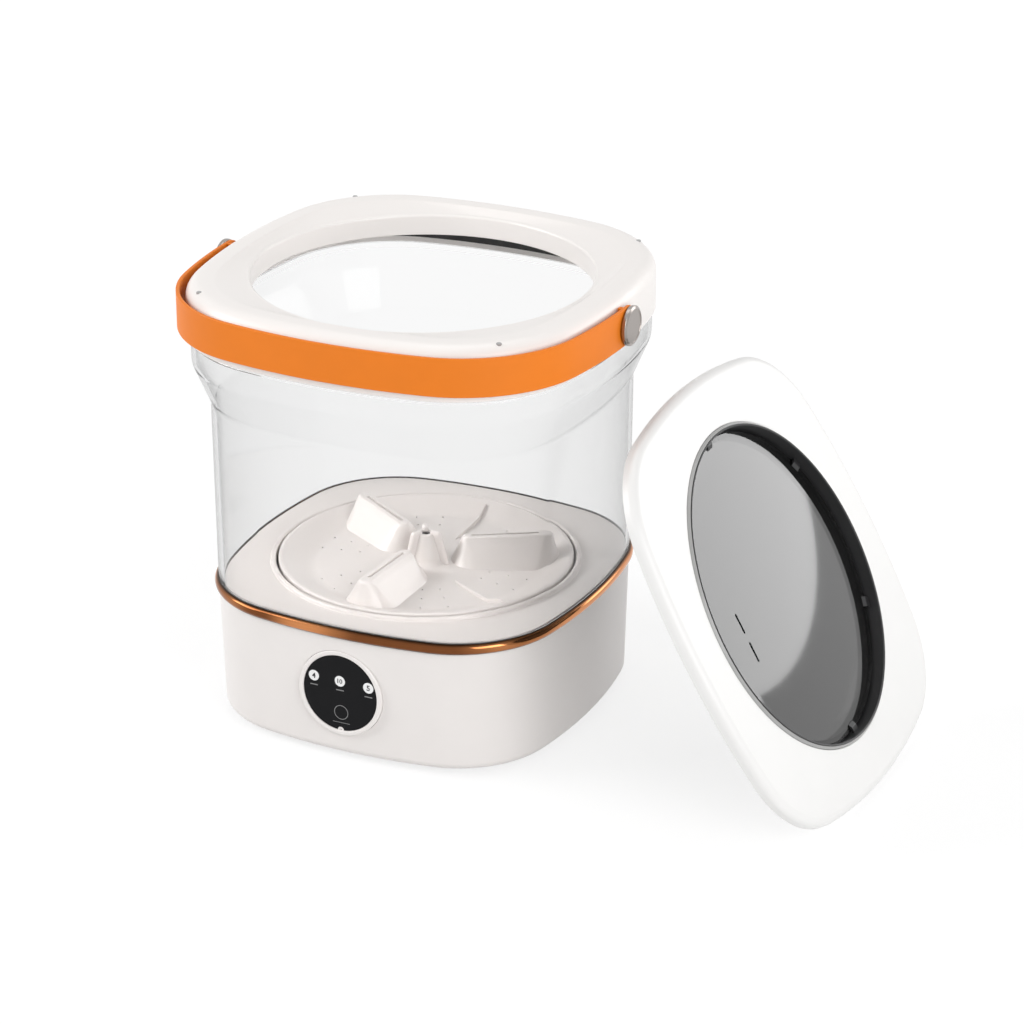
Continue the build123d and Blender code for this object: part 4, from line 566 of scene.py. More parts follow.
def varied(
    group: Tree, noise: bpy.types.NodeSocket, height: bpy.types.NodeSocket
) -> bpy.types.NodeTree:
    """Lets a noise shift a group's colour and gloss, and joins the group's outputs.

    Args:
        group: a group with the inputs Colour, Shade, Gloss and Gloss Change.
        noise: noise about a half.
        height: the surface's height.

    Returns:
        The finished group.
    """
    given = group.add("NodeGroupInput").outputs
    middle = group.math("SUBTRACT", noise, 0.5)
    darker = group.math("MULTIPLY_ADD", middle, given["Shade"], 1.0)
    tint = group.add(
        "ShaderNodeVectorMath", {"operation": "SCALE"}, i0=given["Colour"], Scale=darker
    ).outputs[0]
    gloss = group.math("MULTIPLY_ADD", middle, given["Gloss Change"], given["Gloss"])
    out = group.add("NodeGroupOutput")
    group.link(tint, out.inputs["Color"])
    group.link(gloss, out.inputs["Roughness"])
    group.link(height, out.inputs["Height"])
    return group.tree


def moulded_surface() -> bpy.types.NodeTree:
    """Shader group of moulded plastic and rubber.

    A coarse noise shifts the colour and the gloss a little, as flow marks and handling do, and
    a fine noise gives the height of the mould's grain.

    Returns:
        The group, with outputs Color, Roughness and Height.
    """
    group = new_group(
        "moulded_surface",
        {"Colour": (0.8, 0.8, 0.8), "Shade": 0.04, "Gloss": 0.35, "Gloss Change": 0.08,
         "Patch Size": 40.0, "Grain Size": 900.0},
        {"Color": "NodeSocketColor", "Roughness": "NodeSocketFloat", "Height": "NodeSocketFloat"},
    )
    given = group.add("NodeGroupInput").outputs
    place = group.add("ShaderNodeTexCoord").outputs["Object"]
    patches = group.add(
        "ShaderNodeTexNoise", Vector=place, Scale=given["Patch Size"], Detail=4.0
    ).outputs["Fac"]
    grain = group.add(
        "ShaderNodeTexNoise", Vector=place, Scale=given["Grain Size"], Detail=2.0
    ).outputs["Fac"]
    return varied(group, patches, grain)


def brushed_surface() -> bpy.types.NodeTree:
    """Shader group of brushed or drawn metal.

    Noise stretched along one axis gives fine lines, which shift colour, gloss and height.

    Returns:
        The group, with outputs Color, Roughness and Height.
    """
    group = new_group(
        "brushed_surface",
        {"Colour": (0.7, 0.7, 0.7), "Shade": 0.1, "Gloss": 0.3, "Gloss Change": 0.15,
         "Along X": 40.0, "Along Y": 2500.0, "Along Z": 2500.0},
        {"Color": "NodeSocketColor", "Roughness": "NodeSocketFloat", "Height": "NodeSocketFloat"},
    )
    given = group.add("NodeGroupInput").outputs
    place = group.add("ShaderNodeTexCoord").outputs["Object"]
    stretch = group.add(
        "ShaderNodeCombineXYZ", X=given["Along X"], Y=given["Along Y"], Z=given["Along Z"]
    ).outputs[0]
    drawn = group.add(
        "ShaderNodeVectorMath", {"operation": "MULTIPLY"}, i0=place, i1=stretch
    ).outputs[0]
    lines = group.add("ShaderNodeTexNoise", Vector=drawn, Scale=1.0, Detail=3.0).outputs["Fac"]
    return varied(group, lines, lines)


# Scale of the bead's painted dark reflection patches; noise at which they start and are full,
# and their least and most
REFLECTION_PATCH_SIZE = 11.0
PAINTED_REFLECTION_STEP = (0.40, 0.58, 0.0, 0.85)


def polished_bead() -> bpy.types.NodeTree:
    """Shader group of the polished bead: painted shade at its seams above and below, which are
    also duller, and painted dark reflection patches along it.

    A smooth step over the height darkens both edges, where the bead meets tub and base, as
    painted shade of the gaps. A coarse noise mixes the metal's colour with a dark one along
    the bead, as painted dark reflection patches.

    Returns:
        The group, with outputs Color, Roughness and Height.
    """
    # The dark colours here are painted: shade at the two seams, and dark reflection patches along
    # the bead.
    group = new_group(
        "polished_bead",
        {"Colour": (0.7, 0.3, 0.1), "Shade": 0.1, "Gloss": 0.15, "Gloss Change": 0.1,
         "Painted Reflection Dark": (0.1, 0.03, 0.01), "Seam": (0.01, 0.006, 0.004), "Low": 0.085, "High": 0.0924,
         "Soft": 0.0019},
        {"Color": "NodeSocketColor", "Roughness": "NodeSocketFloat", "Height": "NodeSocketFloat"},
    )
    given = group.add("NodeGroupInput").outputs
    place = group.add("ShaderNodeTexCoord").outputs["Object"]
    height = group.add("ShaderNodeSeparateXYZ", Vector=place).outputs["Z"]
    # Painted shade: the bead is darkened at the seams where it meets tub and base.
    low_end = group.math("ADD", given["Low"], given["Soft"])
    high_end = group.math("SUBTRACT", given["High"], given["Soft"])
    rise = group.step(height, given["Low"], low_end)
    fall = group.step(height, given["High"], high_end)
    clear_of_painted_shade = group.math("MULTIPLY", rise, fall)
    # Painted dark reflection patches: a coarse noise mixes a dark colour into the metal along the
    # bead.
    patches = group.add(
        "ShaderNodeTexNoise", Vector=place, Scale=REFLECTION_PATCH_SIZE, Detail=1.5
    ).outputs["Fac"]
    painted_reflection = group.step(patches, *PAINTED_REFLECTION_STEP)
    metal = group.add("ShaderNodeMix", {"data_type": "RGBA"}, i0=painted_reflection)
    group.link(given["Colour"], metal.inputs[6])
    group.link(given["Painted Reflection Dark"], metal.inputs[7])
    with_painted_gap_shade = group.add("ShaderNodeMix", {"data_type": "RGBA"}, i0=clear_of_painted_shade)
    group.link(given["Seam"], with_painted_gap_shade.inputs[6])
    group.link(metal.outputs[2], with_painted_gap_shade.inputs[7])
    fine = group.add("ShaderNodeTexNoise", Vector=place, Scale=900.0, Detail=2.0).outputs["Fac"]
    dull = group.math("SUBTRACT", 1.0, clear_of_painted_shade)
    gloss = group.math("MULTIPLY_ADD", dull, given["Gloss Change"], given["Gloss"])
    out = group.add("NodeGroupOutput")
    group.link(with_painted_gap_shade.outputs[2], out.inputs["Color"])
    group.link(gloss, out.inputs["Roughness"])
    group.link(fine, out.inputs["Height"])
    return group.tree


class Relief(Enum):
    """Kinds of surface that a finish can have, by the name of their shader group."""

    MOULDED = "moulded_surface"
    BRUSHED = "brushed_surface"
    BEAD = "polished_bead"


@dataclass(frozen=True)
class Finish:
    """A material: its colour and gloss, what they vary by, and its relief."""

    name: str
    colour: Colour
    gloss: float
    relief: Relief = Relief.MOULDED
    shade: float = 0.04
    gloss_change: float = 0.08
    patch_size: float = 40.0
    grain_size: float = 900.0
    grain_height: float = 0.00002
    metallic: float = 0.0
    transmission: float = 0.0
    ior: float = 1.49
    shadow_tint: Colour | None = None
    rim_colour: Colour | None = None
    rim_power: float = 4.0
    drawn: tuple[float, float, float] = (40.0, 2500.0, 2500.0)

    def material(self) -> bpy.types.Material:
        """Builds the material around its relief's shader group.

        Returns:
            The material. Where shadow_tint is set, shadow rays pass it in that tint, so that
            what is inside gets light. Where rim_colour is set, clear plastic deepens to it at
            grazing angles, where light runs a long way through the wall.
        """
        made = bpy.data.materials.new(self.name)
        made.use_nodes = True
        made.node_tree.nodes.clear()
        tree = Tree(made.node_tree)
        surface = tree.add(
            "ShaderNodeGroup", {"node_tree": bpy.data.node_groups[self.relief.value]},
            Colour=(*self.colour, 1.0), Shade=self.shade,
            Gloss=self.gloss, Gloss_Change=self.gloss_change,
        )
        if self.relief is Relief.MOULDED:
            surface.inputs["Patch Size"].default_value = self.patch_size
            surface.inputs["Grain Size"].default_value = self.grain_size
        elif self.relief is Relief.BRUSHED:
            for axis, value in zip("XYZ", self.drawn):
                surface.inputs[f"Along {axis}"].default_value = value
        bump = tree.add(
            "ShaderNodeBump", Height=surface.outputs["Height"], Distance=self.grain_height,
            Strength=1.0,
        )
        colour = surface.outputs["Color"]
        if self.rim_colour:
            facing = tree.add("ShaderNodeLayerWeight", Blend=0.5).outputs["Facing"]
            grazing = tree.math("POWER", facing, self.rim_power)
            deepened = tree.add("ShaderNodeMix", {"data_type": "RGBA"}, i0=grazing)
            tree.link(colour, deepened.inputs[6])
            deepened.inputs[7].default_value = (*self.rim_colour, 1.0)
            colour = deepened.outputs[2]
        shader = tree.add(
            "ShaderNodeBsdfPrincipled",
            Base_Color=colour, Roughness=surface.outputs["Roughness"],
            Normal=bump.outputs["Normal"], Metallic=self.metallic,
            Transmission_Weight=self.transmission, IOR=self.ior,
        )
        result = shader.outputs[0]
        if self.shadow_tint:
            path = tree.add("ShaderNodeLightPath")
            clear = tree.add("ShaderNodeBsdfTransparent", Color=(*self.shadow_tint, 1.0))
            result = tree.add(
                "ShaderNodeMixShader", i0=path.outputs["Is Shadow Ray"], i1=result,
                i2=clear.outputs[0],
            ).outputs[0]
        out = tree.add("ShaderNodeOutputMaterial")
        tree.link(result, out.inputs["Surface"])
        return made


WHITE = Finish("white_moulding", (0.83, 0.795, 0.775), 0.34, grain_height=0.000012)
COLLAR_WHITE = Finish(
    "collar_white", (0.87, 0.835, 0.81), 0.30, shade=0.015, gloss_change=0.015,
    grain_height=0.000004,
)
# A darker copy of the white moulding, which offsets the stronger lamp light on the lid: painted
# shade.
LID_WHITE_SHADED = Finish("lid_white_shaded", (0.80, 0.795, 0.785), 0.36, grain_height=0.000012)
PULSATOR_WHITE = Finish("pulsator_white", (0.77, 0.725, 0.70), 0.30, grain_height=0.000010)
CLEAR = Finish(
    "clear_tub", (0.935, 0.936, 0.936), 0.03, shade=0.0, gloss_change=0.02, grain_height=0.0000006,
    transmission=1.0, shadow_tint=(0.93, 0.925, 0.925), rim_colour=(0.04, 0.04, 0.04),
    rim_power=3.5, ior=1.16,
)
# Its relief paints shade at the bead's seams and dark reflection patches along it.
COPPER = Finish(
    "copper_bead", (0.62, 0.25, 0.095), 0.10, Relief.BEAD, gloss_change=0.3,
    grain_height=0.0000006, metallic=1.0,
)
STRAP = Finish(
    "strap_orange", (0.80, 0.205, 0.014), 0.5, shade=0.10, grain_size=1400.0,
    grain_height=0.00003, ior=1.32,
)
CAP = Finish(
    "cap_steel", (0.34, 0.31, 0.29), 0.22, Relief.BRUSHED, shade=0.1, metallic=1.0,
    grain_height=0.000004, drawn=(2500.0, 60.0, 2500.0),
)
STEEL = Finish(
    "steel", (0.55, 0.55, 0.56), 0.3, Relief.BRUSHED, metallic=1.0, grain_height=0.000004,
)
SCREW = Finish("dark_screw", (0.16, 0.155, 0.15), 0.4, Relief.BRUSHED, metallic=1.0,
               grain_height=0.000004)
ALUMINIUM = Finish(
    "aluminium", (0.72, 0.73, 0.74), 0.35, Relief.BRUSHED, metallic=1.0, grain_height=0.000004,
    drawn=(900.0, 900.0, 60.0),
)
PANEL = Finish(
    "panel_gloss", (0.008, 0.008, 0.009), 0.12, shade=0.3, gloss_change=0.05,
    grain_height=0.000001, ior=1.2,
)
BADGE = Finish("badge_print", (0.86, 0.86, 0.86), 0.4, grain_height=0.000004)
INK = Finish("badge_ink", (0.03, 0.03, 0.03), 0.5, grain_height=0.000004)
CAPTION = Finish("caption_print", (0.22, 0.22, 0.22), 0.5, grain_height=0.000004)
DARK = Finish("dark_moulding", (0.02, 0.02, 0.021), 0.38, shade=0.2, grain_height=0.00002)
SMOKED = Finish(
    "smoked_window", (0.075, 0.075, 0.075), 0.05, shade=0.0, gloss_change=0.02,
    grain_height=0.0000008, transmission=1.0, shadow_tint=(0.4, 0.4, 0.4), ior=1.6,
)
LIP = Finish("window_lip", (0.36, 0.36, 0.355), 0.25, shade=0.1, grain_height=0.00001)
RUBBER_DARK = Finish("rubber_dark", (0.03, 0.03, 0.03), 0.7, shade=0.3, grain_height=0.00004)
RUBBER_GREY = Finish("rubber_grey", (0.30, 0.30, 0.30), 0.65, shade=0.15, grain_height=0.00004)
BOARD = Finish("board_green", (0.02, 0.12, 0.05), 0.45, shade=0.25, patch_size=300.0)
MOTOR = Finish("motor_case", (0.45, 0.46, 0.47), 0.35, Relief.BRUSHED, metallic=1.0,
               drawn=(60.0, 60.0, 2500.0), grain_height=0.000004)
FINISHES = (
    WHITE, COLLAR_WHITE, LID_WHITE_SHADED, PULSATOR_WHITE, CLEAR, COPPER, STRAP, CAP, STEEL, SCREW,
    ALUMINIUM, PANEL, BADGE, INK, CAPTION, DARK, LIP, SMOKED, RUBBER_DARK,
    RUBBER_GREY, BOARD, MOTOR,
)


class Palette:
    """The materials, built once and found by their finish."""

    def __init__(self) -> None:
        """Builds the shader groups and every material."""
        moulded_surface()
        brushed_surface()
        polished_bead()
        self.made = {finish.name: finish.material() for finish in FINISHES}

    def __getitem__(self, finish: Finish) -> bpy.types.Material:
        """The material of a finish."""
        return self.made[finish.name]

    def dress(self, nodes: dict[str, bpy.types.Object], names: dict[str, Finish]) -> None:
        """Gives CAD nodes, which keep their shape, their materials.

        Args:
            nodes: the frame's nodes.
            names: the finish of each node by name.
        """
        for name, finish in names.items():
            holder = nodes[name]
            if not holder.material_slots:
                holder.data.materials.append(None)
            for place in holder.material_slots:
                place.material = self[finish]
            log.info("%s: CAD node in %s", name, finish.name)


# The machine's outline and where the lid leans
BODY = Outline(120.0, 120.0, 351.6, 68.5)
LEAN = np.radians(60.0)
LID_PLACE = Place((250.7, -2.4, 123.145), (0, 1, 0), (float(np.sin(LEAN)), 0, float(np.cos(LEAN))))
PANEL_PLACE = Place((0, 0, 47.0), (1, 0, 0), (0, -1, 0))
BACK_PLACE = Place((0, 0, 0), (-1, 0, 0), (0, 1, 0))


@dataclass
class Base:
    """White base housing with its deck, and the copper bead on top."""

    bottom: float = 3.4
    top: float = 85.0
    bottom_grow: float = -2.6
    top_grow: float = -0.4
    foot_round: float = 6.0
    wall: float = 3.0
    lip: float = 9.0
    lip_thick: float = 4.0
    deck_hole: float = 101.0
    bead_grow: float = 2.4
    bead_inner: float = -1.5
    bead_top: float = 92.4
    bead_round: float = 3.4
    panel_hole: float = 29.1
    pad_radius: float = 10.0
    pad_face: float = 117.8
    pad_back: float = 111.0
    inlet: tuple[float, float] = (30.0, 28.0)
    inlet_hole: float = 5.7
    drain_height: float = 60.0
    drain_hole: float = 7.2
    reach: float = 125.0

    def housing(self) -> Shell:
        """The shell's section: out over the foot, up the wall, over the deck and back inside."""
        outside = rounded(
            [(self.bottom_grow - self.lip, self.bottom),
             (self.bottom_grow, self.bottom, self.foot_round),
             (self.top_grow, self.top, 0.8),
             (self.top_grow - 4, self.top)],
            closed=False,
        )
        deck_bottom = self.top - self.wall
        inside = np.array(
            [(self.top_grow - self.wall, deck_bottom),
             (self.bottom_grow - self.wall, self.bottom + self.lip_thick),
             (self.bottom_grow - self.lip, self.bottom + self.lip_thick)]
        )
        over = from_square_to_circle((self.top_grow - 4, self.top), (self.deck_hole, self.top))
        under = from_square_to_circle(
            (self.top_grow - self.wall, deck_bottom), (self.deck_hole, deck_bottom)
        )
        return BODY.wall(on_square(outside), over[1:], under[::-1][:-1], on_square(inside))

    def bead(self) -> Shell:
        """The bead's section: two wide rounds outside, flat inside."""
        return BODY.wall(on_square(rounded(
            [(self.bead_inner, self.top), (self.bead_grow, self.top, self.bead_round),
             (self.bead_grow, self.bead_top, self.bead_round), (self.bead_inner, self.bead_top)]
        )))

    def build(self, palette: Palette) -> None:
        """Builds the housing, with its holes for panel, inlet and drain, and the bead."""
        shift = np.array([-self.inlet[0], self.inlet[1], 0])
        pad = pillar(self.pad_radius, self.pad_back, self.pad_face, 0.4, 64)
        inlet = pillar(self.inlet_hole, self.pad_back - 5, self.reach, 0, 48)
        drain = pillar(self.drain_hole, self.pad_back - 5, self.reach, 0, 48)
        panel = pillar(self.panel_hole, self.pad_back, self.reach, 0, 96).placed(PANEL_PLACE)
        at_inlet = [Shell(each.points + shift, each.faces).placed(BACK_PLACE)
                    for each in (pad, inlet)]
        raised = Shell(drain.points + np.array([0, self.drain_height, 0]), drain.faces)
        Piece("base_shell", "machine", Slot.WHITE, ("base_housing",)).build(
            self.housing(), palette[WHITE], [panel, at_inlet[1], raised.placed(BACK_PLACE)],
            [at_inlet[0]],
        )
        Piece("copper_bead", "machine", Slot.COPPER, ("trim_ring",)).build(
            self.bead(), palette[COPPER]
        )


@dataclass
class Tub:
    """Clear tub, the white floor in it and the soft ring on its lip."""

    lip_bottom: float = 85.0
    floor_top: float = 92.4
    shoulder_low: float = 213.0
    shoulder_high: float = 240.0
    shelf_top: float = 256.4
    lip_top: float = 261.4
    draft: float = 1.0
    rim: float = 12.2
    wall: float = 3.0
    sump: float = 96.2
    sump_wall: float = 3.4
    sump_floor: float = 80.0
    roll_top: float = 94.9
    boss: float = 17.0
    gusset_reach: float = 28.0
    gusset_drop: float = 24.0
    gusset_count: int = 6
    standoffs: tuple[tuple[float, float], ...] = ((34, 285), (34, 345), (52, 97), (52, 173))
    standoff: float = 4.0
    standoff_bottom: float = 30.0
    drain_at: float = 84.0
    drain_bore: float = 5.0
    gasket_top: float = 266.6

    def clear_wall(self) -> Shell:
        """The tub's section: foot lip, flared wall, shoulder, band and upper lip, then back."""
        return BODY.wall(on_square(rounded(
            [(-1.6, self.lip_bottom), (-1.6, self.floor_top), (0, self.floor_top, 0.5),
             (self.draft, self.shoulder_low, 9), (self.rim, self.shoulder_high, 14),
             (self.rim, self.shelf_top, 0.5), (self.rim - 1.8, self.shelf_top),
             (self.rim - 1.8, self.lip_top, 0.5), (7.8, self.lip_top, 0.5), (7.8, 253.4),
             (self.rim - self.wall, 253.4), (self.rim - self.wall, self.shoulder_high, 11),
             (self.draft - self.wall, self.shoulder_low, 12), (-3.6, self.lip_bottom)]
        )))

    def floor(self) -> Shell:
        """The floor's section: flat plate, rolled lip, sump, bearing tube, and back below."""
        outer = self.sump + self.sump_wall
        under = self.sump_floor - self.wall
        roll = rounded(
            [(outer + 3, self.floor_top), (outer, self.floor_top, 0.8),
             (outer, self.roll_top, 1.5), (self.sump, self.roll_top, 1.5),
             (self.sump, self.sump_floor, 2.5), (14, self.sump_floor, 1.5), (14, 85, 0.5),
             (11.1, 85), (11.1, 66), (8.5, 66), (8.5, 50), (11.1, 50), (11.1, 40),
             (self.boss, 40), (self.boss, under), (outer, under),
             (outer, self.floor_top - self.wall)],
            closed=False,
        )
        plate = np.array([(-3.8, 86.4), (-5.6, 86.4), (-5.6, 88.8), (-3.8, 88.8), (-3.8, 92.4)])
        over = from_square_to_circle((-3.8, self.floor_top), (outer + 3, self.floor_top))
        back = from_square_to_circle(
            (-7.4, self.floor_top - self.wall), (outer, self.floor_top - self.wall)
        )
        skirt = np.array([(-7.4, 85.0), (-3.8, 85.0)])
        return BODY.wall(
            on_square(plate), over[1:-1], on_circle(roll), back[::-1][1:], on_square(skirt)
        )

    def supports(self) -> list[Shell]:
        """Gussets round the bearing tube, and the bosses that carry the drive bracket."""
        under = self.sump_floor - self.wall
        turns = np.radians(np.arange(self.gusset_count) * 360 / self.gusset_count)
        made = []
        for turn in turns:
            away, side = np.cos(turn), np.sin(turn)
            place = Place((0, 0, 0), (away, side, 0), (side, -away, 0))
            outline = np.array(
                [(12, under + 1), (self.gusset_reach, under + 1),
                 (self.boss, under - self.gusset_drop), (12, under - self.gusset_drop)]
            )
            rings = [outline.mean(0) + 0 * outline, outline, outline, outline.mean(0) + 0 * outline]
            grid = np.stack(
                [np.concatenate([ring, np.full((4, 1), n)], -1)
                 for ring, n in zip(rings, (-1, -1, 1, 1))]
            )
            made.append(weave(grid, closed_rows=False).placed(place))
        for distance, turn in self.standoffs:
            boss = pillar(self.standoff, self.standoff_bottom, under + 1)
            at = distance * np.array([np.cos(np.radians(turn)), np.sin(np.radians(turn)), 0])
            made.append(Shell(boss.points + at, boss.faces))
        return made

    def gasket(self) -> Shell:
        """Soft ring with a rounded top."""
        return BODY.wall(on_square(rounded(
            [(7.8, self.lip_top), (10.4, self.lip_top), (10.4, self.gasket_top, 0.8),
             (7.8, self.gasket_top, 0.8)]
        )))

    def build(self, palette: Palette) -> None:
        """Builds the clear wall, the floor and the soft ring."""
        drain = pillar(self.drain_bore, self.sump_floor - 5, self.sump_floor + 2, 0)
        at_drain = Shell(drain.points + np.array([0, self.drain_at, 0]), drain.faces)
        Piece("tub_wall", "machine", Slot.CLEAR, ("tub",)).build(
            self.clear_wall(), palette[CLEAR]
        )
        Piece("tub_base_plate", "machine", Slot.WHITE, ("tub_floor",)).build(
            self.floor(), palette[PULSATOR_WHITE], [at_drain], self.supports()
        )
        Piece("rim_soft_ring", "machine", Slot.RUBBER_GREY, ("rim_gasket",)).build(
            self.gasket(), palette[RUBBER_DARK]
        )


@dataclass
class Collar:
    """White collar: skirt, round crest, funnel and mouth wall, with pads and keys for the strap."""

    grow: float = 14.2
    wall: float = 2.4
    bottom: float = 256.6
    top: float = 290.8
    crest: float = 10.0
    funnel_grow: float = -3.0
    mouth: float = 107.6
    mouth_top: float = 287.0
    mouth_bottom: float = 273.2
    mouth_round: float = 1.8
    seat: tuple[float, float] = (7.6, 10.0)
    seat_bottom: float = 266.6
    pad: float = 9.0
    pad_face: float = 134.8
    pivot_height: float = 273.6
    key_low: tuple[float, float, float] = (133.0, -1.6, 261.8)
    key_high: tuple[float, float, float] = (136.6, 1.6, 264.4)
    plug_place: float = 101.6
    plug: float = 1.7
    plug_top: float = 290.5

    def body(self) -> Shell:
        """The collar's section: skirt, crest, funnel, mouth, and back under them."""
        inner = self.crest - self.wall
        centre = (self.grow - self.crest, self.top - self.crest)
        seat_in = np.degrees(np.arccos((self.seat[0] - centre[0]) / inner))
        seat_out = np.degrees(np.arccos((self.seat[1] - centre[0]) / inner))
        outside = np.concatenate([
            rounded([(self.grow - self.wall, self.bottom), (self.grow, self.bottom, 0.8),
                     (self.grow, centre[1])], closed=False),
            bend(centre, self.crest, 0, 90)[1:],
        ])
        edge = self.mouth + self.mouth_round + 0.6
        funnel = from_square_to_circle((self.funnel_grow, self.top), (edge, self.mouth_top), 10)
        mouth = rounded(
            [(edge, self.mouth_top + 0.1), (self.mouth, self.mouth_top, self.mouth_round),
             (self.mouth, self.mouth_bottom, 0.8), (self.mouth + self.wall, self.mouth_bottom, 0.8),
             (self.mouth + self.wall, self.mouth_top - self.wall)],
            closed=False,
        )
        back = from_square_to_circle(
            (self.funnel_grow, self.top - self.wall),
            (self.mouth + self.wall, self.mouth_top - self.wall), 8,
        )
        inside = np.concatenate([
            bend(centre, inner, 90, seat_in),
            np.array([(self.seat[0], self.seat_bottom), (self.seat[1], self.seat_bottom)]),
            bend(centre, inner, seat_out, 0),
        ])
        return BODY.wall(
            on_square(outside), funnel, on_circle(mouth[1:]), back[::-1][1:], on_square(inside)
        )

    def build(self, palette: Palette) -> None:
        """Builds the collar with the strap's pads and stop keys, and the corner plugs."""
        parts = [self.body()]
        for side in (-1, 1):
            place = Place((0, 0, self.pivot_height), (0, 1, 0), (side, 0, 0))
            parts.append(pillar(self.pad, self.pad_face - 3, self.pad_face, 0.3, 48).placed(place))
            key = block(self.key_low, self.key_high, 0.3)
            parts.append(Shell(key.points * np.array([side, 1, 1]), key.faces))
        Piece("collar_ring", "machine", Slot.WHITE, ("collar",)).build(
            joined(parts), palette[COLLAR_WHITE]
        )
        plugs = []
        for x in (-self.plug_place, self.plug_place):
            for y in (-self.plug_place, self.plug_place):
                pin = pillar(self.plug, self.plug_top - 5, self.plug_top, 0.3, 24)
                plugs.append(Shell(pin.points + np.array([x, y, 0]), pin.faces))
        Piece("corner_plugs", "machine", Slot.DARK, ("collar_plugs",)).build(
            joined(plugs), palette[LIP]
        )


@dataclass
class Strap:
    """Carrying strap, turned to the front, with its two round caps."""

    outline: Outline = field(default_factory=lambda: Outline(140.0, 137.4, 375.0, 83.0))
    thick: float = 2.4
    width: float = 24.4
    edge: float = 0.6
    height: float = 273.6
    cap: float = 12.6
    cap_inner: float = 140.3
    cap_outer: float = 144.0
    cap_round: float = 1.1
    pin: float = 4.05
    pin_end: float = 142.4
    stub_low: tuple[float, float, float] = (134.8, -4.9, 9.2)
    stub_high: tuple[float, float, float] = (138.2, -1.7, 11.8)

    def band(self) -> Shell:
        """The strap as a flat section carried along the front half of the outline.

        Past the pivots the path runs straight on, and the half width falls as
        sqrt(end radius^2 - distance^2), which rounds the ends. The section is a rectangle
        with quarter rounds of the edge radius, scaled in height to the local width.

        Returns:
            The shell, closed at both tips.
        """
        turns, centres, radii = self.outline.spokes()
        normals = np.stack([np.cos(turns), np.sin(turns)], -1)
        path = centres + radii[:, None] * normals
        order = np.argsort((np.pi / 2 - turns) % (2 * np.pi))
        path, normals = path[order], normals[order]
        front = path[:, 1] <= 0
        path, normals = path[front], normals[front]
        end = self.width / 2
        reach = end * np.sin(np.linspace(0, np.pi / 2, 14))[1:]
        start = np.stack([np.full_like(reach, path[0, 0]), reach[::-1]], -1)
        finish = np.stack([np.full_like(reach, path[-1, 0]), reach], -1)
        path = np.concatenate([start, path, finish])
        normals = np.concatenate(
            [np.tile(normals[0], (len(reach), 1)), normals, np.tile(normals[-1], (len(reach), 1))]
        )
        half = np.full(len(path), end)
        half[: len(reach)] = np.sqrt(np.maximum(end**2 - reach[::-1] ** 2, 0))
        half[-len(reach):] = np.sqrt(np.maximum(end**2 - reach**2, 0))
        section = rounded(
            [(0, -end, self.edge), (0, end, self.edge), (-self.thick, end, self.edge),
             (-self.thick, -end, self.edge)]
        )
        depth = section[None, :, 0, None] * normals[:, None, :]
        flat = path[:, None, :] + depth
        rise = self.height + section[None, :, 1] * (half / end)[:, None]
        grid = np.concatenate([flat, rise[..., None]], -1)
        return weave(grid, closed_rows=False)

    def caps(self) -> Shell:
        """Caps with a bevelled rim and a slightly sunk face."""
        profile = rounded(
            [(0, self.pin_end), (self.pin, self.pin_end), (self.pin, self.cap_inner),
             (self.cap, self.cap_inner, self.cap_round), (self.cap, self.cap_outer - 0.9, 0.4),
             (self.cap - 1.5, self.cap_outer, 0.4), (self.cap - 2.3, self.cap_outer, 0.2),
             (self.cap - 2.6, self.cap_outer - 0.35, 0.15), (0, self.cap_outer - 0.35)],
            closed=False,
        )
        disc = turned(profile, 96, closed=False)
        sides = [Place((0, 0, self.height), (0, 1, 0), (side, 0, 0)) for side in (-1, 1)]
        return joined([disc.placed(side) for side in sides])

    def build(self, palette: Palette, nodes: dict[str, bpy.types.Object]) -> None:
        """Builds the strap and caps, and dresses pins, washers and nuts."""
        holes = [
            pillar(self.pin, 130, 143, 0, 32).placed(
                Place((0, 0, self.height), (0, 1, 0), (side, 0, 0))
            )
            for side in (-1, 1)
        ]
        stub = block(self.stub_low, self.stub_high, 0.3)
        stubs = [
            Shell(stub.points * np.array([side, 1, up]) + np.array([0, 0, self.height]), stub.faces)
            for side in (-1, 1) for up in (-1, 1)
        ]
        Piece("strap_band", "handle", Slot.STRAP, ("handle_strap",)).build(
            self.band(), palette[STRAP], holes, stubs
        )
        Piece("strap_caps", "machine", Slot.CAP, ("pivot_caps",)).build(self.caps(), palette[CAP])
        palette.dress(
            nodes,
            {"pivot_pins": STEEL, "pivot_nuts": STEEL, "pivot_washers": RUBBER_GREY},
        )


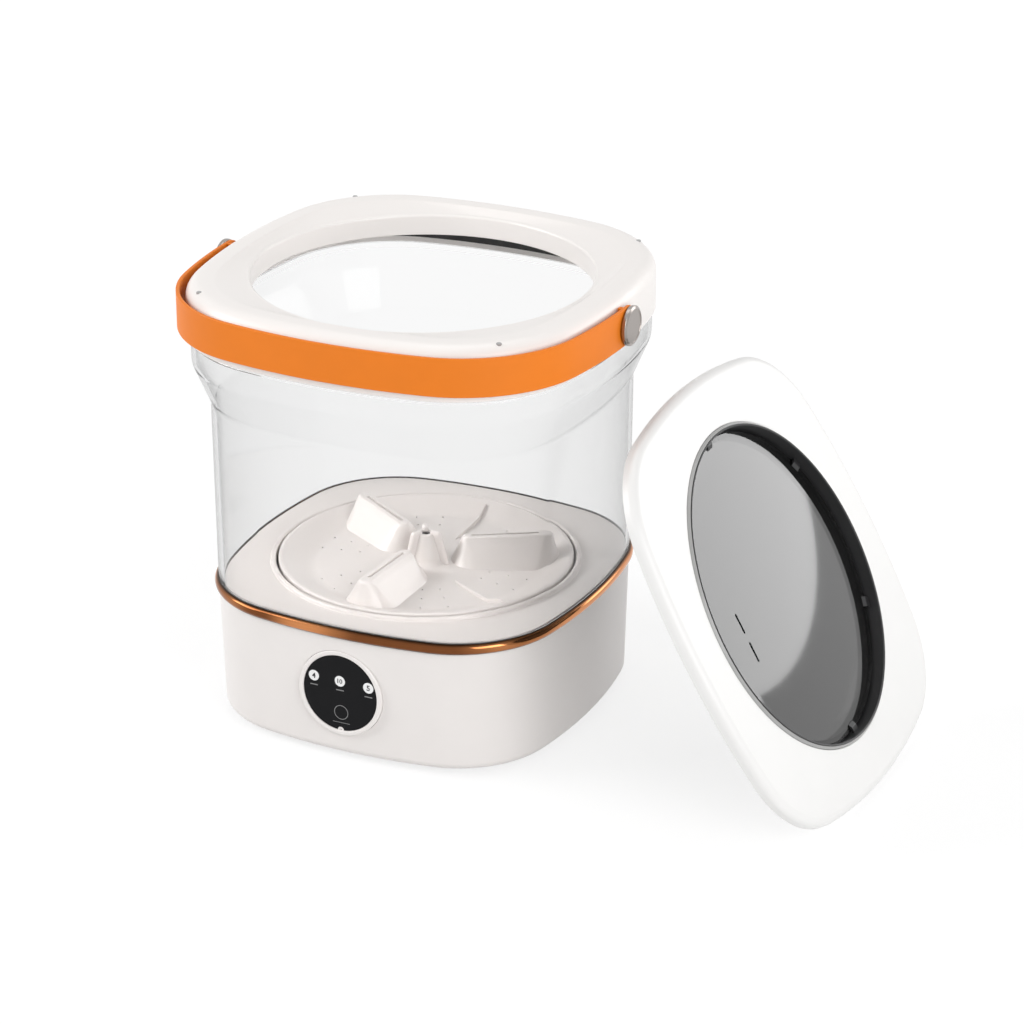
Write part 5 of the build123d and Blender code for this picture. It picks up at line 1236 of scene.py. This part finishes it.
@dataclass
class Pulsator:
    """Dished disc with a rolled rim, three paddles, two ridges, a finned hub and holes."""

    radius: float = 94.6
    rim_top: float = 95.4
    rim_width: float = 2.4
    rim_bottom: float = 87.2
    field_height: float = 88.5
    field_radius: float = 74.0
    rise: float = 1.5
    skin: float = 2.4
    hub_top: float = 109.4
    hub_radius: float = 6.4
    hub_foot: float = 12.0
    hub_bottom_radius: float = 7.2
    hub_bottom: float = 86.2
    recess: float = 3.6
    recess_floor: float = 106.6
    shaft: float = 5.1
    shaft_top: float = 104.0
    screw: float = 2.0
    screw_head: float = 3.4
    screw_head_top: float = 108.2
    screw_bottom: float = 92.6
    paddle_turns: tuple[float, ...] = (28.0, 148.0, 268.0)
    paddle_foot: tuple[float, float, float] = (33.0, 69.0, 18.0)
    paddle_crest: tuple[float, float, float] = (28.0, 77.0, 5.0)
    paddle_foot_height: float = 88.0
    paddle_inner_top: float = 106.5
    paddle_outer_top: float = 107.5
    paddle_round: float = 2.4
    slot: tuple[float, float] = (30.0, 73.0)
    ridge_turns: tuple[float, ...] = (88.0, 328.0)
    ridge_reach: tuple[float, float] = (37.0, 88.0)
    ridge_tall: float = 2.4
    ridge_half: float = 0.85
    fin_turns: tuple[float, ...] = (0.0, 120.0, 240.0)
    fin_half: float = 2.0
    hole: float = 0.8
    hole_radii: tuple[float, ...] = (45.0, 58.0, 71.0)
    hole_middles: tuple[float, ...] = (88.0, 208.0, 328.0)
    hole_turns: tuple[float, ...] = (-34.0, -20.0, 20.0, 34.0)

    def disc(self) -> Shell:
        """Section of the disc: hub, dished field, rolled rim, and back below."""
        top = self.field_height + self.rise
        return turned(rounded(
            [(self.screw + 0.1, self.recess_floor), (self.recess, self.recess_floor),
             (self.recess, self.hub_top, 0.5), (self.hub_radius, self.hub_top, 1.2),
             (self.hub_foot, top, 4.0), (self.field_radius, self.field_height, 20.0),
             (self.radius - self.rim_width, self.rim_top, 1.0), (self.radius, self.rim_top, 1.1),
             (self.radius, self.rim_bottom, 0.4), (self.radius - self.rim_width, self.rim_bottom),
             (self.radius - self.rim_width, self.rim_top - self.skin - 0.1),
             (self.field_radius + self.skin / 4, self.field_height - self.skin, 20.0),
             (self.hub_foot, top - self.skin), (self.hub_bottom_radius, self.hub_bottom),
             (self.shaft, self.hub_bottom), (self.shaft, self.shaft_top),
             (self.screw + 0.1, self.shaft_top)]
        ), 192)

    def dish(self, distance: Array) -> Array:
        """Height of the disc's top: level to the field's radius, then straight up to the rim."""
        run = self.radius - self.rim_width - self.field_radius
        slope = (self.rim_top - self.field_height) / run
        return self.field_height + slope * np.maximum(distance - self.field_radius, 0)

    def paddle(self) -> Shell:
        """One paddle along +u: wide foot, sides that draw in to a round crest, and a sunk slot.

        The stations are rings over the hull of two circles. From foot to crest by the share s,
        the circles' places go evenly and their radius falls with 1 - (1 - s)^1.2, so the sides
        are a little hollow; the crest climbs outward.

        Returns:
            The shell.
        """
        foot_in, foot_out, foot_round = self.paddle_foot
        crest_in, crest_out, crest_round = self.paddle_crest
        foot = self.paddle_foot_height
        rings = [(foot_in, 0, foot - 1, foot_out, 0, foot - 1),
                 (foot_in, foot_round + 0.6, foot - 1, foot_out, foot_round + 0.6, foot - 1)]
        for share in (0.0, 0.04, 0.1, 0.18, 0.28, 0.4, 0.52, 0.64, 0.75, 0.84):
            wide = crest_round + (foot_round - crest_round) * (1 - share) ** 1.2
            rings.append((
                foot_in + (crest_in - foot_in) * share, wide,
                foot + (self.paddle_inner_top - foot) * share,
                foot_out + (crest_out - foot_out) * share, wide,
                foot + (self.paddle_outer_top - foot) * share,
            ))
        for turn in np.radians(np.linspace(15, 90, 6)):
            draw = self.paddle_round * (1 - np.cos(turn))
            drop = self.paddle_round * (1 - np.sin(turn))
            rings.append((
                crest_in, crest_round - draw, self.paddle_inner_top - drop,
                crest_out, crest_round - draw, self.paddle_outer_top - drop,
            ))
        slope = (self.paddle_outer_top - self.paddle_inner_top) / (crest_out - crest_in)
        start, end = self.slot
        low = self.paddle_inner_top + (start - crest_in) * slope
        high = self.paddle_inner_top + (end - crest_in) * slope
        rings += [
            (start, 1.1, low, end, 1.1, high),
            (start, 0.9, low - 0.25, end, 0.9, high - 0.25),
            (start, 0.8, low - 3, end, 0.8, high - 3),
            (start, 0, low - 3, end, 0, high - 3),
        ]
        return long_ring(np.array(rings))

    def ridge(self) -> Shell:
        """One thin ridge along +u that follows the dish and climbs its slope to the rim.

        The middle line runs from v = -1.2 to 2.8 by a soft step, the half width tapers at both
        ends as sqrt(1 - (2 t - 1)^10), and the top stays an even height over the dish.

        Returns:
            The shell.
        """
        share = np.linspace(0, 1, 41)
        start, end = self.ridge_reach
        along = start + (end - start) * share
        aside = -1.2 + 4.0 * share**2
        taper = np.sqrt(np.maximum(1 - (2 * share - 1) ** 10, 0))
        half = self.ridge_half * taper
        base = self.dish(along) - 1.6
        top = self.dish(along) + 0.3 + (self.ridge_tall - 0.3) * taper
        section = rounded([(-1, 0), (1, 0), (0.8, 1, 0.45), (-0.8, 1, 0.45)])
        across = section[None, :, 0] * half[:, None]
        rise = base[:, None] + section[None, :, 1] * (top - base)[:, None]
        grid = np.stack([along[:, None] + 0 * across, aside[:, None] + across, rise], -1)
        return weave(grid, closed_rows=False)

    def fin(self) -> Shell:
        """One upright fin of the hub along +u, with round edges and a round crest."""
        rings = []
        for height, reach, half in (
            (87.5, 17.6, 1.0), (89.5, 16.6, 1.0), (92.0, 15.9, 1.0), (98.0, 14.2, 1.0),
            (104.0, 12.5, 1.0), (108.6, 11.2, 1.0), (110.0, 10.7, 0.92), (110.9, 10.1, 0.72),
            (111.3, 9.4, 0.4),
        ):
            wide = self.fin_half * half
            rings.append((5.0, wide, height, reach - wide, wide, height))
        ends = [(5.0, 0, 87.5, 16.0, 0, 87.5), (5.0, 0, 111.4, 8.6, 0, 111.4)]
        return long_ring(np.array([ends[0], *rings, ends[1]]), 10)

    def build(self, palette: Palette) -> None:
        """Builds the pulsator as one fused piece with its holes, and the screw in its hub."""
        spots = []
        for each, turns in (
            (self.paddle(), self.paddle_turns),
            (self.ridge(), self.ridge_turns),
            (self.fin(), self.fin_turns),
        ):
            for turn in np.radians(turns):
                place = Place((0, 0, 0), (np.cos(turn), np.sin(turn), 0), (0, 0, 1))
                spots.append(each.placed(place))
        holes = []
        for distance in self.hole_radii:
            for middle in self.hole_middles:
                for turn in np.radians(middle + np.array(self.hole_turns)):
                    pin = pillar(self.hole, self.field_height - 5, self.field_height + 3, 0, 12)
                    at = distance * np.array([np.cos(turn), np.sin(turn), 0])
                    holes.append(Shell(pin.points + at, pin.faces))
        Piece("pulsator_disc", "pulsator_drive", Slot.WHITE, ("pulsator",)).build(
            self.disc(), palette[PULSATOR_WHITE], holes, spots
        )
        head = rounded(
            [(0, self.screw_bottom), (self.screw, self.screw_bottom, 0.3),
             (self.screw, self.recess_floor), (self.screw_head, self.recess_floor),
             (self.screw_head, self.screw_head_top, 0.4), (1.4, self.screw_head_top),
             (1.4, self.screw_head_top - 1.2), (0, self.screw_head_top - 1.2)],
            closed=False,
        )
        Piece("hub_screw", "pulsator_drive", Slot.STEEL, ("pulsator_screw",)).build(
            turned(head, 32, closed=False), palette[SCREW]
        )


@dataclass
class Panel:
    """Round touch panel in its white bezel, with printed keys."""

    radius: float = 25.6
    face: float = 119.4
    thick: float = 2.8
    edge: float = 0.5
    notch: float = 2.4
    bezel: float = 28.9
    bezel_face: float = 119.9
    bezel_round: float = 1.0
    flange: float = 31.5
    flange_front: float = 113.6
    flange_thick: float = 1.6
    ledge: float = 22.5
    ledge_thick: float = 2.0
    badge: float = 3.6
    print_height: float = 0.06
    badges: tuple[tuple[float, float, str], ...] = (
        (-18.2, 8.8, "4"), (0.1, 8.4, "10"), (20.0, 7.8, "5"),
    )
    ring_centre: tuple[float, float] = (0.6, -13.1)
    ring_radius: float = 4.7

    def disc(self) -> Shell:
        """The panel's disc, from its back over the rounded edge to the middle of its face."""
        profile = rounded(
            [(0, self.face - self.thick), (self.radius, self.face - self.thick, 0.2),
             (self.radius, self.face, self.edge), (0, self.face)],
            closed=False,
        )
        return turned(profile, 128, closed=False).placed(PANEL_PLACE)

    def ring(self) -> Shell:
        """The bezel's section: rounded front, bore with the panel's ledge, flange behind."""
        bore = self.radius + 0.1
        back = self.face - self.thick
        profile = rounded(
            [(bore, self.bezel_face, 0.9), (self.bezel, self.bezel_face, self.bezel_round),
             (self.bezel, self.flange_front), (self.flange, self.flange_front),
             (self.flange, self.flange_front - self.flange_thick),
             (bore, self.flange_front - self.flange_thick), (bore, back - self.ledge_thick),
             (self.ledge, back - self.ledge_thick), (self.ledge, back), (bore, back)]
        )
        return turned(profile, 160).placed(PANEL_PLACE)

    def on_face(self, shell: Shell, u: float, v: float) -> Shell:
        """A print moved to a point of the panel's face and turned to the row frame."""
        return Shell(shell.points + np.array([u, v, self.face]), shell.faces).placed(PANEL_PLACE)

    def digits(self, text: str, u: float, v: float, size: float) -> Shell:
        """Outlines of digits as thin prints, from Blender's own font.

        Args:
            text: the digits.
            u: middle across the panel.
            v: middle up the panel.
            size: height of the letters' body.

        Returns:
            The shell, in millimetres in the row frame.
        """
        curve = bpy.data.curves.new("digits", "FONT")
        curve.body = text
        curve.size = size
        curve.align_x = "CENTER"
        curve.align_y = "CENTER"
        curve.extrude = self.print_height / 2
        curve.offset = size * 0.02
        carrier = bpy.data.objects.new("digits", curve)
        bpy.context.scene.collection.objects.link(carrier)
        graph = bpy.context.evaluated_depsgraph_get()
        mesh = bpy.data.meshes.new_from_object(carrier.evaluated_get(graph))
        work = bmesh.new()
        work.from_mesh(mesh)
        bmesh.ops.triangulate(work, faces=work.faces)
        work.to_mesh(mesh)
        work.free()
        points = np.zeros(len(mesh.vertices) * 3)
        mesh.vertices.foreach_get("co", points)
        corners = np.zeros(len(mesh.polygons) * 3, np.int32)
        mesh.polygons.foreach_get("vertices", corners)
        faces = corners.reshape(-1, 3)
        points = points.reshape(-1, 3)
        points[:, :2] -= (points[:, :2].max(0) + points[:, :2].min(0)) / 2
        bpy.data.objects.remove(carrier)
        bpy.data.meshes.remove(mesh)
        bpy.data.curves.remove(curve)
        padded = np.concatenate([faces, faces[:, 2:]], -1)
        return self.on_face(Shell(points + np.array([0, 0, self.print_height * 1.5]), padded), u, v)

    def bar(self, u: float, v: float, length: float, height: float) -> Shell:
        """A short printed line, as a low rounded block."""
        half = length / 2
        flat = block(
            (-half, -height / 2, -0.02), (half, height / 2, self.print_height), height * 0.2
        )
        return self.on_face(flat, u, v)

    def build(self, palette: Palette, nodes: dict[str, bpy.types.Object]) -> None:
        """Builds disc, bezel and prints, and dresses the board behind them."""
        foot = (0, -self.radius)
        notch = pillar(self.notch, self.face - 6, self.face + 2, 0, 32)
        notch = Shell(notch.points + np.array([*foot, 0]), notch.faces).placed(PANEL_PLACE)
        Piece("panel_disc", "machine", Slot.PANEL, ("control_panel",)).build(
            self.disc(), palette[PANEL], [notch]
        )
        tongue = pillar(self.notch - 0.1, self.face - self.thick - 0.5, self.face - 0.1, 0.3, 32)
        tongue = Shell(tongue.points + np.array([*foot, 0]), tongue.faces).placed(PANEL_PLACE)
        pry = block((-0.9, -0.3, -1.3), (0.9, 0.3, 1.0), 0.12)
        Piece("panel_rim", "machine", Slot.WHITE, ("panel_bezel",)).build(
            self.ring(), palette[WHITE], [self.on_face(pry, 0, 0.6 - self.radius)], [tongue]
        )
        badge = pillar(self.badge, -0.02, self.print_height, 0.02, 48)
        Piece("key_badges", "machine", Slot.WHITE).build(
            joined([self.on_face(badge, u, v) for u, v, _ in self.badges]), palette[BADGE]
        )
        Piece("key_digits", "machine", Slot.DARK).build(
            joined([self.digits(text, u, v, 5.0 if len(text) == 1 else 4.2)
                    for u, v, text in self.badges]),
            palette[INK],
        )
        bars = [self.bar(u, v - 6.2, 5.4, 0.7) for u, v, _ in self.badges]
        bars.append(self.bar(0.6, -20.2, 12.0, 0.35))
        Piece("key_captions", "machine", Slot.WHITE).build(joined(bars), palette[CAPTION])
        hoop = turned(rounded(
            [(self.ring_radius - 0.22, -0.02), (self.ring_radius - 0.22, self.print_height, 0.02),
             (self.ring_radius + 0.22, self.print_height, 0.02), (self.ring_radius + 0.22, -0.02)]
        ), 64)
        Piece("power_key_ring", "machine", Slot.WHITE).build(
            self.on_face(hoop, *self.ring_centre), palette[CAPTION]
        )
        palette.dress(nodes, {"control_board": BOARD, "board_screws": STEEL})


@dataclass
class Lid:
    """Leaning lid: white frame, liner, dark ring, smoked window, seal and screws."""

    outline: Outline = field(default_factory=lambda: Outline(137.0, 137.0, 401.0, 66.0))
    thick: float = 9.0
    edge: float = 5.4
    wall: float = 2.4
    bore: float = 105.2
    ring_wall: float = 2.2
    liner_top: float = 7.0
    skirt: float = 1.6
    skirt_depth: float = 17.5
    holder_crest: float = 2.2
    holder_crest_at: float = 103.4
    holder_inner: float = 102.2
    lip_foot: float = 2.0
    holder_ledge: float = 97.4
    holder_bottom: float = 17.0
    clip_turns: tuple[float, ...] = (31.0, 91.0, 151.0, 211.0, 271.0, 331.0)
    clip_half: float = 3.25
    clip_reach: float = 96.0
    clip_slope: float = 2.8
    clip_top: float = 4.7
    glass: float = 100.9
    glass_flat: float = 95.0
    glass_top: float = 6.3
    glass_thick: float = 3.0
    dome: float = 2.4
    slit_across: float = -65.0
    slit_along: tuple[float, ...] = (2.5, -16.8)
    slit_half: float = 6.75
    slit_radius: float = 0.9

    def frame(self) -> Shell:
        """Section of the frame: rounded edge, flat face, window wall, and back inside."""
        outside = rounded(
            [(-self.wall, -self.thick), (0, -self.thick, 0.6), (0, 0, self.edge),
             (-self.edge - 3, 0)],
            closed=False,
        )
        face = from_square_to_circle((-self.edge - 3, 0), (self.bore + 2, 0), 8)
        bore = rounded(
            [(self.bore + 2, 0), (self.bore, 0, 0.8), (self.bore, -self.liner_top),
             (self.bore + self.ring_wall, -self.liner_top),
             (self.bore + self.ring_wall, -self.wall)],
            closed=False,
        )
        back = from_square_to_circle(
            (-self.edge, -self.wall), (self.bore + self.ring_wall, -self.wall), 8
        )
        inside = rounded(
            [(-self.edge, -self.wall), (-self.wall, -self.wall, self.edge - self.wall),
             (-self.wall, -self.thick)],
            closed=False,
        )
        return self.outline.wall(
            on_square(outside), face[1:], on_circle(bore[1:]), back[::-1][1:],
            on_square(inside[1:-1]),
        ).placed(LID_PLACE)

    def liner(self) -> Shell:
        """Section of the liner: plate under the frame, and the skirt round the window."""
        grow = -self.wall - 0.2
        bottom, top = -self.thick, -self.liner_top
        skirt = self.bore + self.skirt
        under = from_square_to_circle((grow, bottom), (skirt + 2, bottom), 8)
        ring = rounded(
            [(skirt + 2, bottom), (skirt, bottom, 0.8), (skirt, -self.skirt_depth, 0.6),
             (self.bore, -self.skirt_depth, 0.4), (self.bore, top)],
            closed=False,
        )
        over = from_square_to_circle((grow, top), (self.bore, top), 8)
        return self.outline.wall(under[:-1], on_circle(ring), over[::-1][1:]).placed(LID_PLACE)

    def lip(self) -> Shell:
        """The grey lip round the window's wall, with a raised bevel."""
        out = self.bore - 0.1
        return turned(rounded(
            [(out, -0.1, 0.3), (self.holder_crest_at, self.holder_crest, 0.4),
             (self.holder_crest_at, -self.lip_foot), (out, -self.lip_foot)]
        ), 160).placed(LID_PLACE)

    def holder(self) -> Shell:
        """The dark ring with its wall and ledge, and the clips over the window's edge."""
        out = self.bore - 0.1
        ledge_top = self.glass_top + self.glass_thick
        ring = turned(rounded(
            [(self.holder_crest_at, self.holder_crest - 0.2, 0.2),
             (self.holder_inner, self.holder_crest - 0.8, 0.3), (self.holder_inner, -ledge_top),
             (self.holder_ledge, -ledge_top, 0.3), (self.holder_ledge, -self.holder_bottom, 0.3),
             (out, -self.holder_bottom), (out, -self.lip_foot),
             (self.holder_crest_at, -self.lip_foot)]
        ), 160)
        section = rounded(
            [(self.holder_inner + 0.4, 0.1 - self.glass_top),
             (self.holder_inner + 0.4, -self.clip_top),
             (self.clip_reach + self.clip_slope, -self.clip_top, 0.3),
             (self.clip_reach, 0.1 - self.glass_top, 0.1)]
        )
        made = [ring.placed(LID_PLACE)]
        for turn in np.radians(self.clip_turns):
            out_dir = np.array([np.cos(turn), np.sin(turn)])
            side = np.array([-np.sin(turn), np.cos(turn)])
            rows = []
            for across, share in ((-1, 0.0), (-1, 1.0), (1, 1.0), (1, 0.0)):
                shrunk = section.mean(0) + (section - section.mean(0)) * share
                flat = shrunk[:, :1] * out_dir + across * self.clip_half * side
                rows.append(np.concatenate([flat, shrunk[:, 1:]], -1))
            made.append(weave(np.stack(rows), closed_rows=False).placed(LID_PLACE))
        return joined(made)

    def window(self) -> Shell:
        """The window: a shallow dome, height * (1 - (r / flat radius)^2), over an even wall."""
        radius = np.linspace(0, self.glass_flat, 16)
        dome = self.dome * (1 - (radius / self.glass_flat) ** 2)
        top = np.stack([radius, dome - self.glass_top], -1)
        under = np.stack([radius, dome - self.glass_top - self.glass_thick], -1)[::-1]
        rim = rounded(
            [(self.glass_flat, -self.glass_top), (self.glass, -self.glass_top, 0.4),
             (self.glass, -self.glass_top - self.glass_thick, 0.4),
             (self.glass_flat, -self.glass_top - self.glass_thick)],
            closed=False,
        )
        profile = np.concatenate([top, rim[1:-1], under])
        return turned(profile, 160, closed=False).placed(LID_PLACE)

    def slits(self) -> list[Shell]:
        """The two slits, as long rounded prisms through the window."""
        made = []
        for along in self.slit_along:
            rings = np.array([
                (along - self.slit_half + self.slit_radius, radius, height,
                 along + self.slit_half - self.slit_radius, radius, height)
                for radius, height in (
                    (0, -20), (self.slit_radius, -20), (self.slit_radius, 0), (0, 0)
                )
            ])
            prism = long_ring(rings, 12)
            swapped = prism.points[:, [1, 0, 2]]
            swapped[:, 0] += self.slit_across
            made.append(Shell(swapped, prism.faces).placed(LID_PLACE))
        return made

    def build(self, palette: Palette, nodes: dict[str, bpy.types.Object]) -> None:
        """Builds frame, liner, ring and window, and dresses screws and seal."""
        Piece("lid_cover", "lid", Slot.WHITE, ("lid_frame",)).build(
            self.frame(), palette[LID_WHITE_SHADED]
        )
        Piece("lid_inner_plate", "lid", Slot.WHITE, ("lid_liner",)).build(
            self.liner(), palette[LID_WHITE_SHADED]
        )
        Piece("window_holder", "lid", Slot.DARK, ("window_ring",)).build(
            self.holder(), palette[DARK]
        )
        Piece("window_lip", "lid", Slot.DARK).build(self.lip(), palette[LIP])
        Piece("window_pane", "lid", Slot.SMOKED, ("lid_window",)).build(
            self.window(), palette[SMOKED], self.slits()
        )
        palette.dress(nodes, {"lid_screws": STEEL, "lid_seal": RUBBER_GREY})


@dataclass
class Inside:
    """What stands in the base and at its back: drive, boards, screws, inlet and drain."""

    finishes: dict[str, Finish] = field(default_factory=lambda: {
        "bottom_cover": WHITE, "cover_screws": STEEL, "foot_ring": RUBBER_GREY,
        "floor_seal": RUBBER_GREY, "drive_shaft": STEEL, "upper_bearing": STEEL,
        "lower_bearing": STEEL, "shaft_seal": RUBBER_DARK, "drive_pulley": ALUMINIUM,
        "pulley_nut": STEEL, "drive_belt": RUBBER_DARK, "motor": MOTOR, "motor_shaft": STEEL,
        "motor_pulley": ALUMINIUM, "motor_bracket": STEEL, "bracket_screws": STEEL,
        "motor_screws": STEEL, "drive_board": BOARD, "drive_board_screws": STEEL,
        "power_inlet": DARK, "inlet_nut": STEEL, "drain_elbow": WHITE, "drain_plug": RUBBER_GREY,
    })

    def build(self, palette: Palette, nodes: dict[str, bpy.types.Object]) -> None:
        """Gives the CAD nodes their materials."""
        palette.dress(nodes, self.finishes)


@dataclass(frozen=True)
class Lamp:
    """A soft area lamp: where it stands, its side or diameter in metres and its watts."""

    name: str
    place: tuple[float, float, float]
    size: float
    power: float
    shape: str = "SQUARE"
    aim: tuple[float, float, float] = (0.08, 0, 0.15)

    def build(self) -> None:
        """Makes the lamp, which faces the middle of the object and isn't seen itself."""
        data = bpy.data.lights.new(self.name, "AREA")
        data.shape = self.shape
        data.size = self.size
        data.energy = self.power
        lamp = bpy.data.objects.new(self.name, data)
        lamp.visible_camera = False
        lamp.location = self.place
        aim = Vector(self.aim) - Vector(self.place)
        lamp.rotation_mode = "QUATERNION"
        lamp.rotation_quaternion = aim.to_track_quat("-Z", "Y")
        bpy.context.scene.collection.objects.link(lamp)


LAMPS = (
    Lamp("key", (-1.9, -0.9, 1.3), 1.2, 30.0),
    Lamp("fill", (1.8, -1.1, 1.0), 1.4, 27.0),
    Lamp("top", (-0.2, 0.5, 2.2), 1.2, 6.0),
    # Stands where the window mirrors it as a round light patch
    Lamp("glint", (1.097, 1.321, 0.562), 0.841, 4.8, "DISK"),
)


@dataclass
class Studio:
    """Camera at the photograph's angle, soft lamps, pale floor and white surround."""

    azimuth: float = 25.6167
    elevation: float = 23.5659
    half: float = 0.12
    target_height: float = 0.0924
    distance: float = 19.2163
    aside: float = 0.4614
    raised: float = 0.2344
    focal: float = 3578.545
    frame_width: float = 1024.0
    sensor: float = 36.0
    world_strength: float = 0.44
    floor_size: float = 6.0
    floor_matt: float = 0.8
    floor_shown_matt: float = 0.26
    floor_glow: tuple[float, float, float, float] = (0.5, 2.6, 0.77, 1.0)

    def camera(self) -> None:
        """Places the camera from its angles and its offset from the bead's middle."""
        turn, lift = np.radians(self.azimuth), np.radians(self.elevation)
        back = np.array(
            [np.sin(turn) * np.cos(lift), -np.cos(turn) * np.cos(lift), np.sin(lift)]
        )
        right = np.array([np.cos(turn), np.sin(turn), 0.0])
        up = np.cross(back, right)
        place = np.array([0, 0, self.target_height]) + self.half * (
            self.distance * back + self.aside * right + self.raised * up
        )
        data = bpy.data.cameras.new("camera")
        data.sensor_width = self.sensor
        data.lens = self.focal * self.sensor / self.frame_width
        data.clip_start, data.clip_end = 0.05, 50.0
        camera = bpy.data.objects.new("camera", data)
        camera.location = Vector(place)
        camera.rotation_mode = "QUATERNION"
        camera.rotation_quaternion = Vector(-back).to_track_quat("-Z", "Y")
        bpy.context.scene.collection.objects.link(camera)
        bpy.context.scene.camera = camera

    def seen_directly(self, tree: Tree) -> bpy.types.NodeSocket:
        """One for camera, mirror and glass rays that no matt surface has scattered, else nought.

        Args:
            tree: the material's or world's tree.

        Returns:
            The output that holds it.
        """
        path = tree.add("ShaderNodeLightPath").outputs
        mirrored = tree.math("MAXIMUM", path["Is Camera Ray"], path["Is Glossy Ray"])
        either = tree.math("MAXIMUM", mirrored, path["Is Transmission Ray"])
        unscattered = tree.math("LESS_THAN", path["Diffuse Depth"], 0.5)
        return tree.math("MULTIPLY", either, unscattered)

    def world(self) -> None:
        """Even light, with white for what camera, mirror and glass rays see."""
        world = bpy.data.worlds.new("surround")
        bpy.context.scene.world = world
        world.use_nodes = True
        world.node_tree.nodes.clear()
        tree = Tree(world.node_tree)
        seen = self.seen_directly(tree)
        light = tree.add("ShaderNodeBackground", Color=(1, 1, 1, 1), Strength=self.world_strength)
        white = tree.add("ShaderNodeBackground", Color=(1, 1, 1, 1), Strength=1.0)
        mixed = tree.add(
            "ShaderNodeMixShader", i0=seen, i1=light.outputs[0], i2=white.outputs[0]
        )
        out = tree.add("ShaderNodeOutputWorld")
        tree.link(mixed.outputs[0], out.inputs["Surface"])

    def floor(self) -> None:
        """Pale floor that shows as white but keeps the object's shadow.

        Camera, mirror and glass rays see part of its own reflection, which a shadow darkens,
        and a glow that brings the floor up to white, stronger where the lamps reach less.
        """
        half = self.floor_size / 2 / MM
        edge = np.linspace(-half, half, 9)
        u, v = np.meshgrid(edge, edge, indexing="ij")
        grid = np.stack([u, v, np.full_like(u, -0.2)], -1)
        index = np.arange(81).reshape(9, 9)
        faces = np.stack(
            [index[:-1, :-1], index[1:, :-1], index[1:, 1:], index[:-1, 1:]], -1
        ).reshape(-1, 4)
        mesh = bpy.data.meshes.new("floor")
        mesh.from_pydata((grid.reshape(-1, 3) * MM).tolist(), [], faces.tolist())
        floor = bpy.data.objects.new("floor", mesh)
        bpy.context.scene.collection.objects.link(floor)
        material = bpy.data.materials.new("floor_white")
        material.use_nodes = True
        material.node_tree.nodes.clear()
        tree = Tree(material.node_tree)
        seen = self.seen_directly(tree)
        matt, faint = (
            tree.add("ShaderNodeBsdfDiffuse", Color=(share, share, share, 1))
            for share in (self.floor_matt, self.floor_shown_matt)
        )
        place = tree.add("ShaderNodeTexCoord").outputs["Object"]
        distance = tree.add("ShaderNodeVectorMath", {"operation": "LENGTH"}, i0=place).outputs[1]
        glow = tree.step(distance, *self.floor_glow)
        shine = tree.add("ShaderNodeEmission", Color=(1, 1, 1, 1), Strength=glow)
        white = tree.add("ShaderNodeAddShader", i0=faint.outputs[0], i1=shine.outputs[0])
        shown = tree.add(
            "ShaderNodeMixShader", i0=seen, i1=matt.outputs[0], i2=white.outputs[0]
        )
        out = tree.add("ShaderNodeOutputMaterial")
        tree.link(shown.outputs[0], out.inputs["Surface"])
        mesh.materials.append(material)

    def build(self) -> None:
        """Sets up camera, world, floor and lamps."""
        self.camera()
        self.world()
        self.floor()
        for lamp in LAMPS:
            lamp.build()
        bpy.context.scene.view_settings.view_transform = "Standard"


def main() -> None:
    """Builds the scene."""
    logging.basicConfig(level=logging.INFO, format="%(name)s: %(message)s")
    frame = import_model()
    nodes = frame["nodes"]
    palette = Palette()
    Studio().build()
    Base().build(palette)
    Tub().build(palette)
    Collar().build(palette)
    Strap().build(palette, nodes)
    Pulsator().build(palette)
    Panel().build(palette, nodes)
    Lid().build(palette, nodes)
    Inside().build(palette, nodes)


if __name__ == "__main__":
    main()
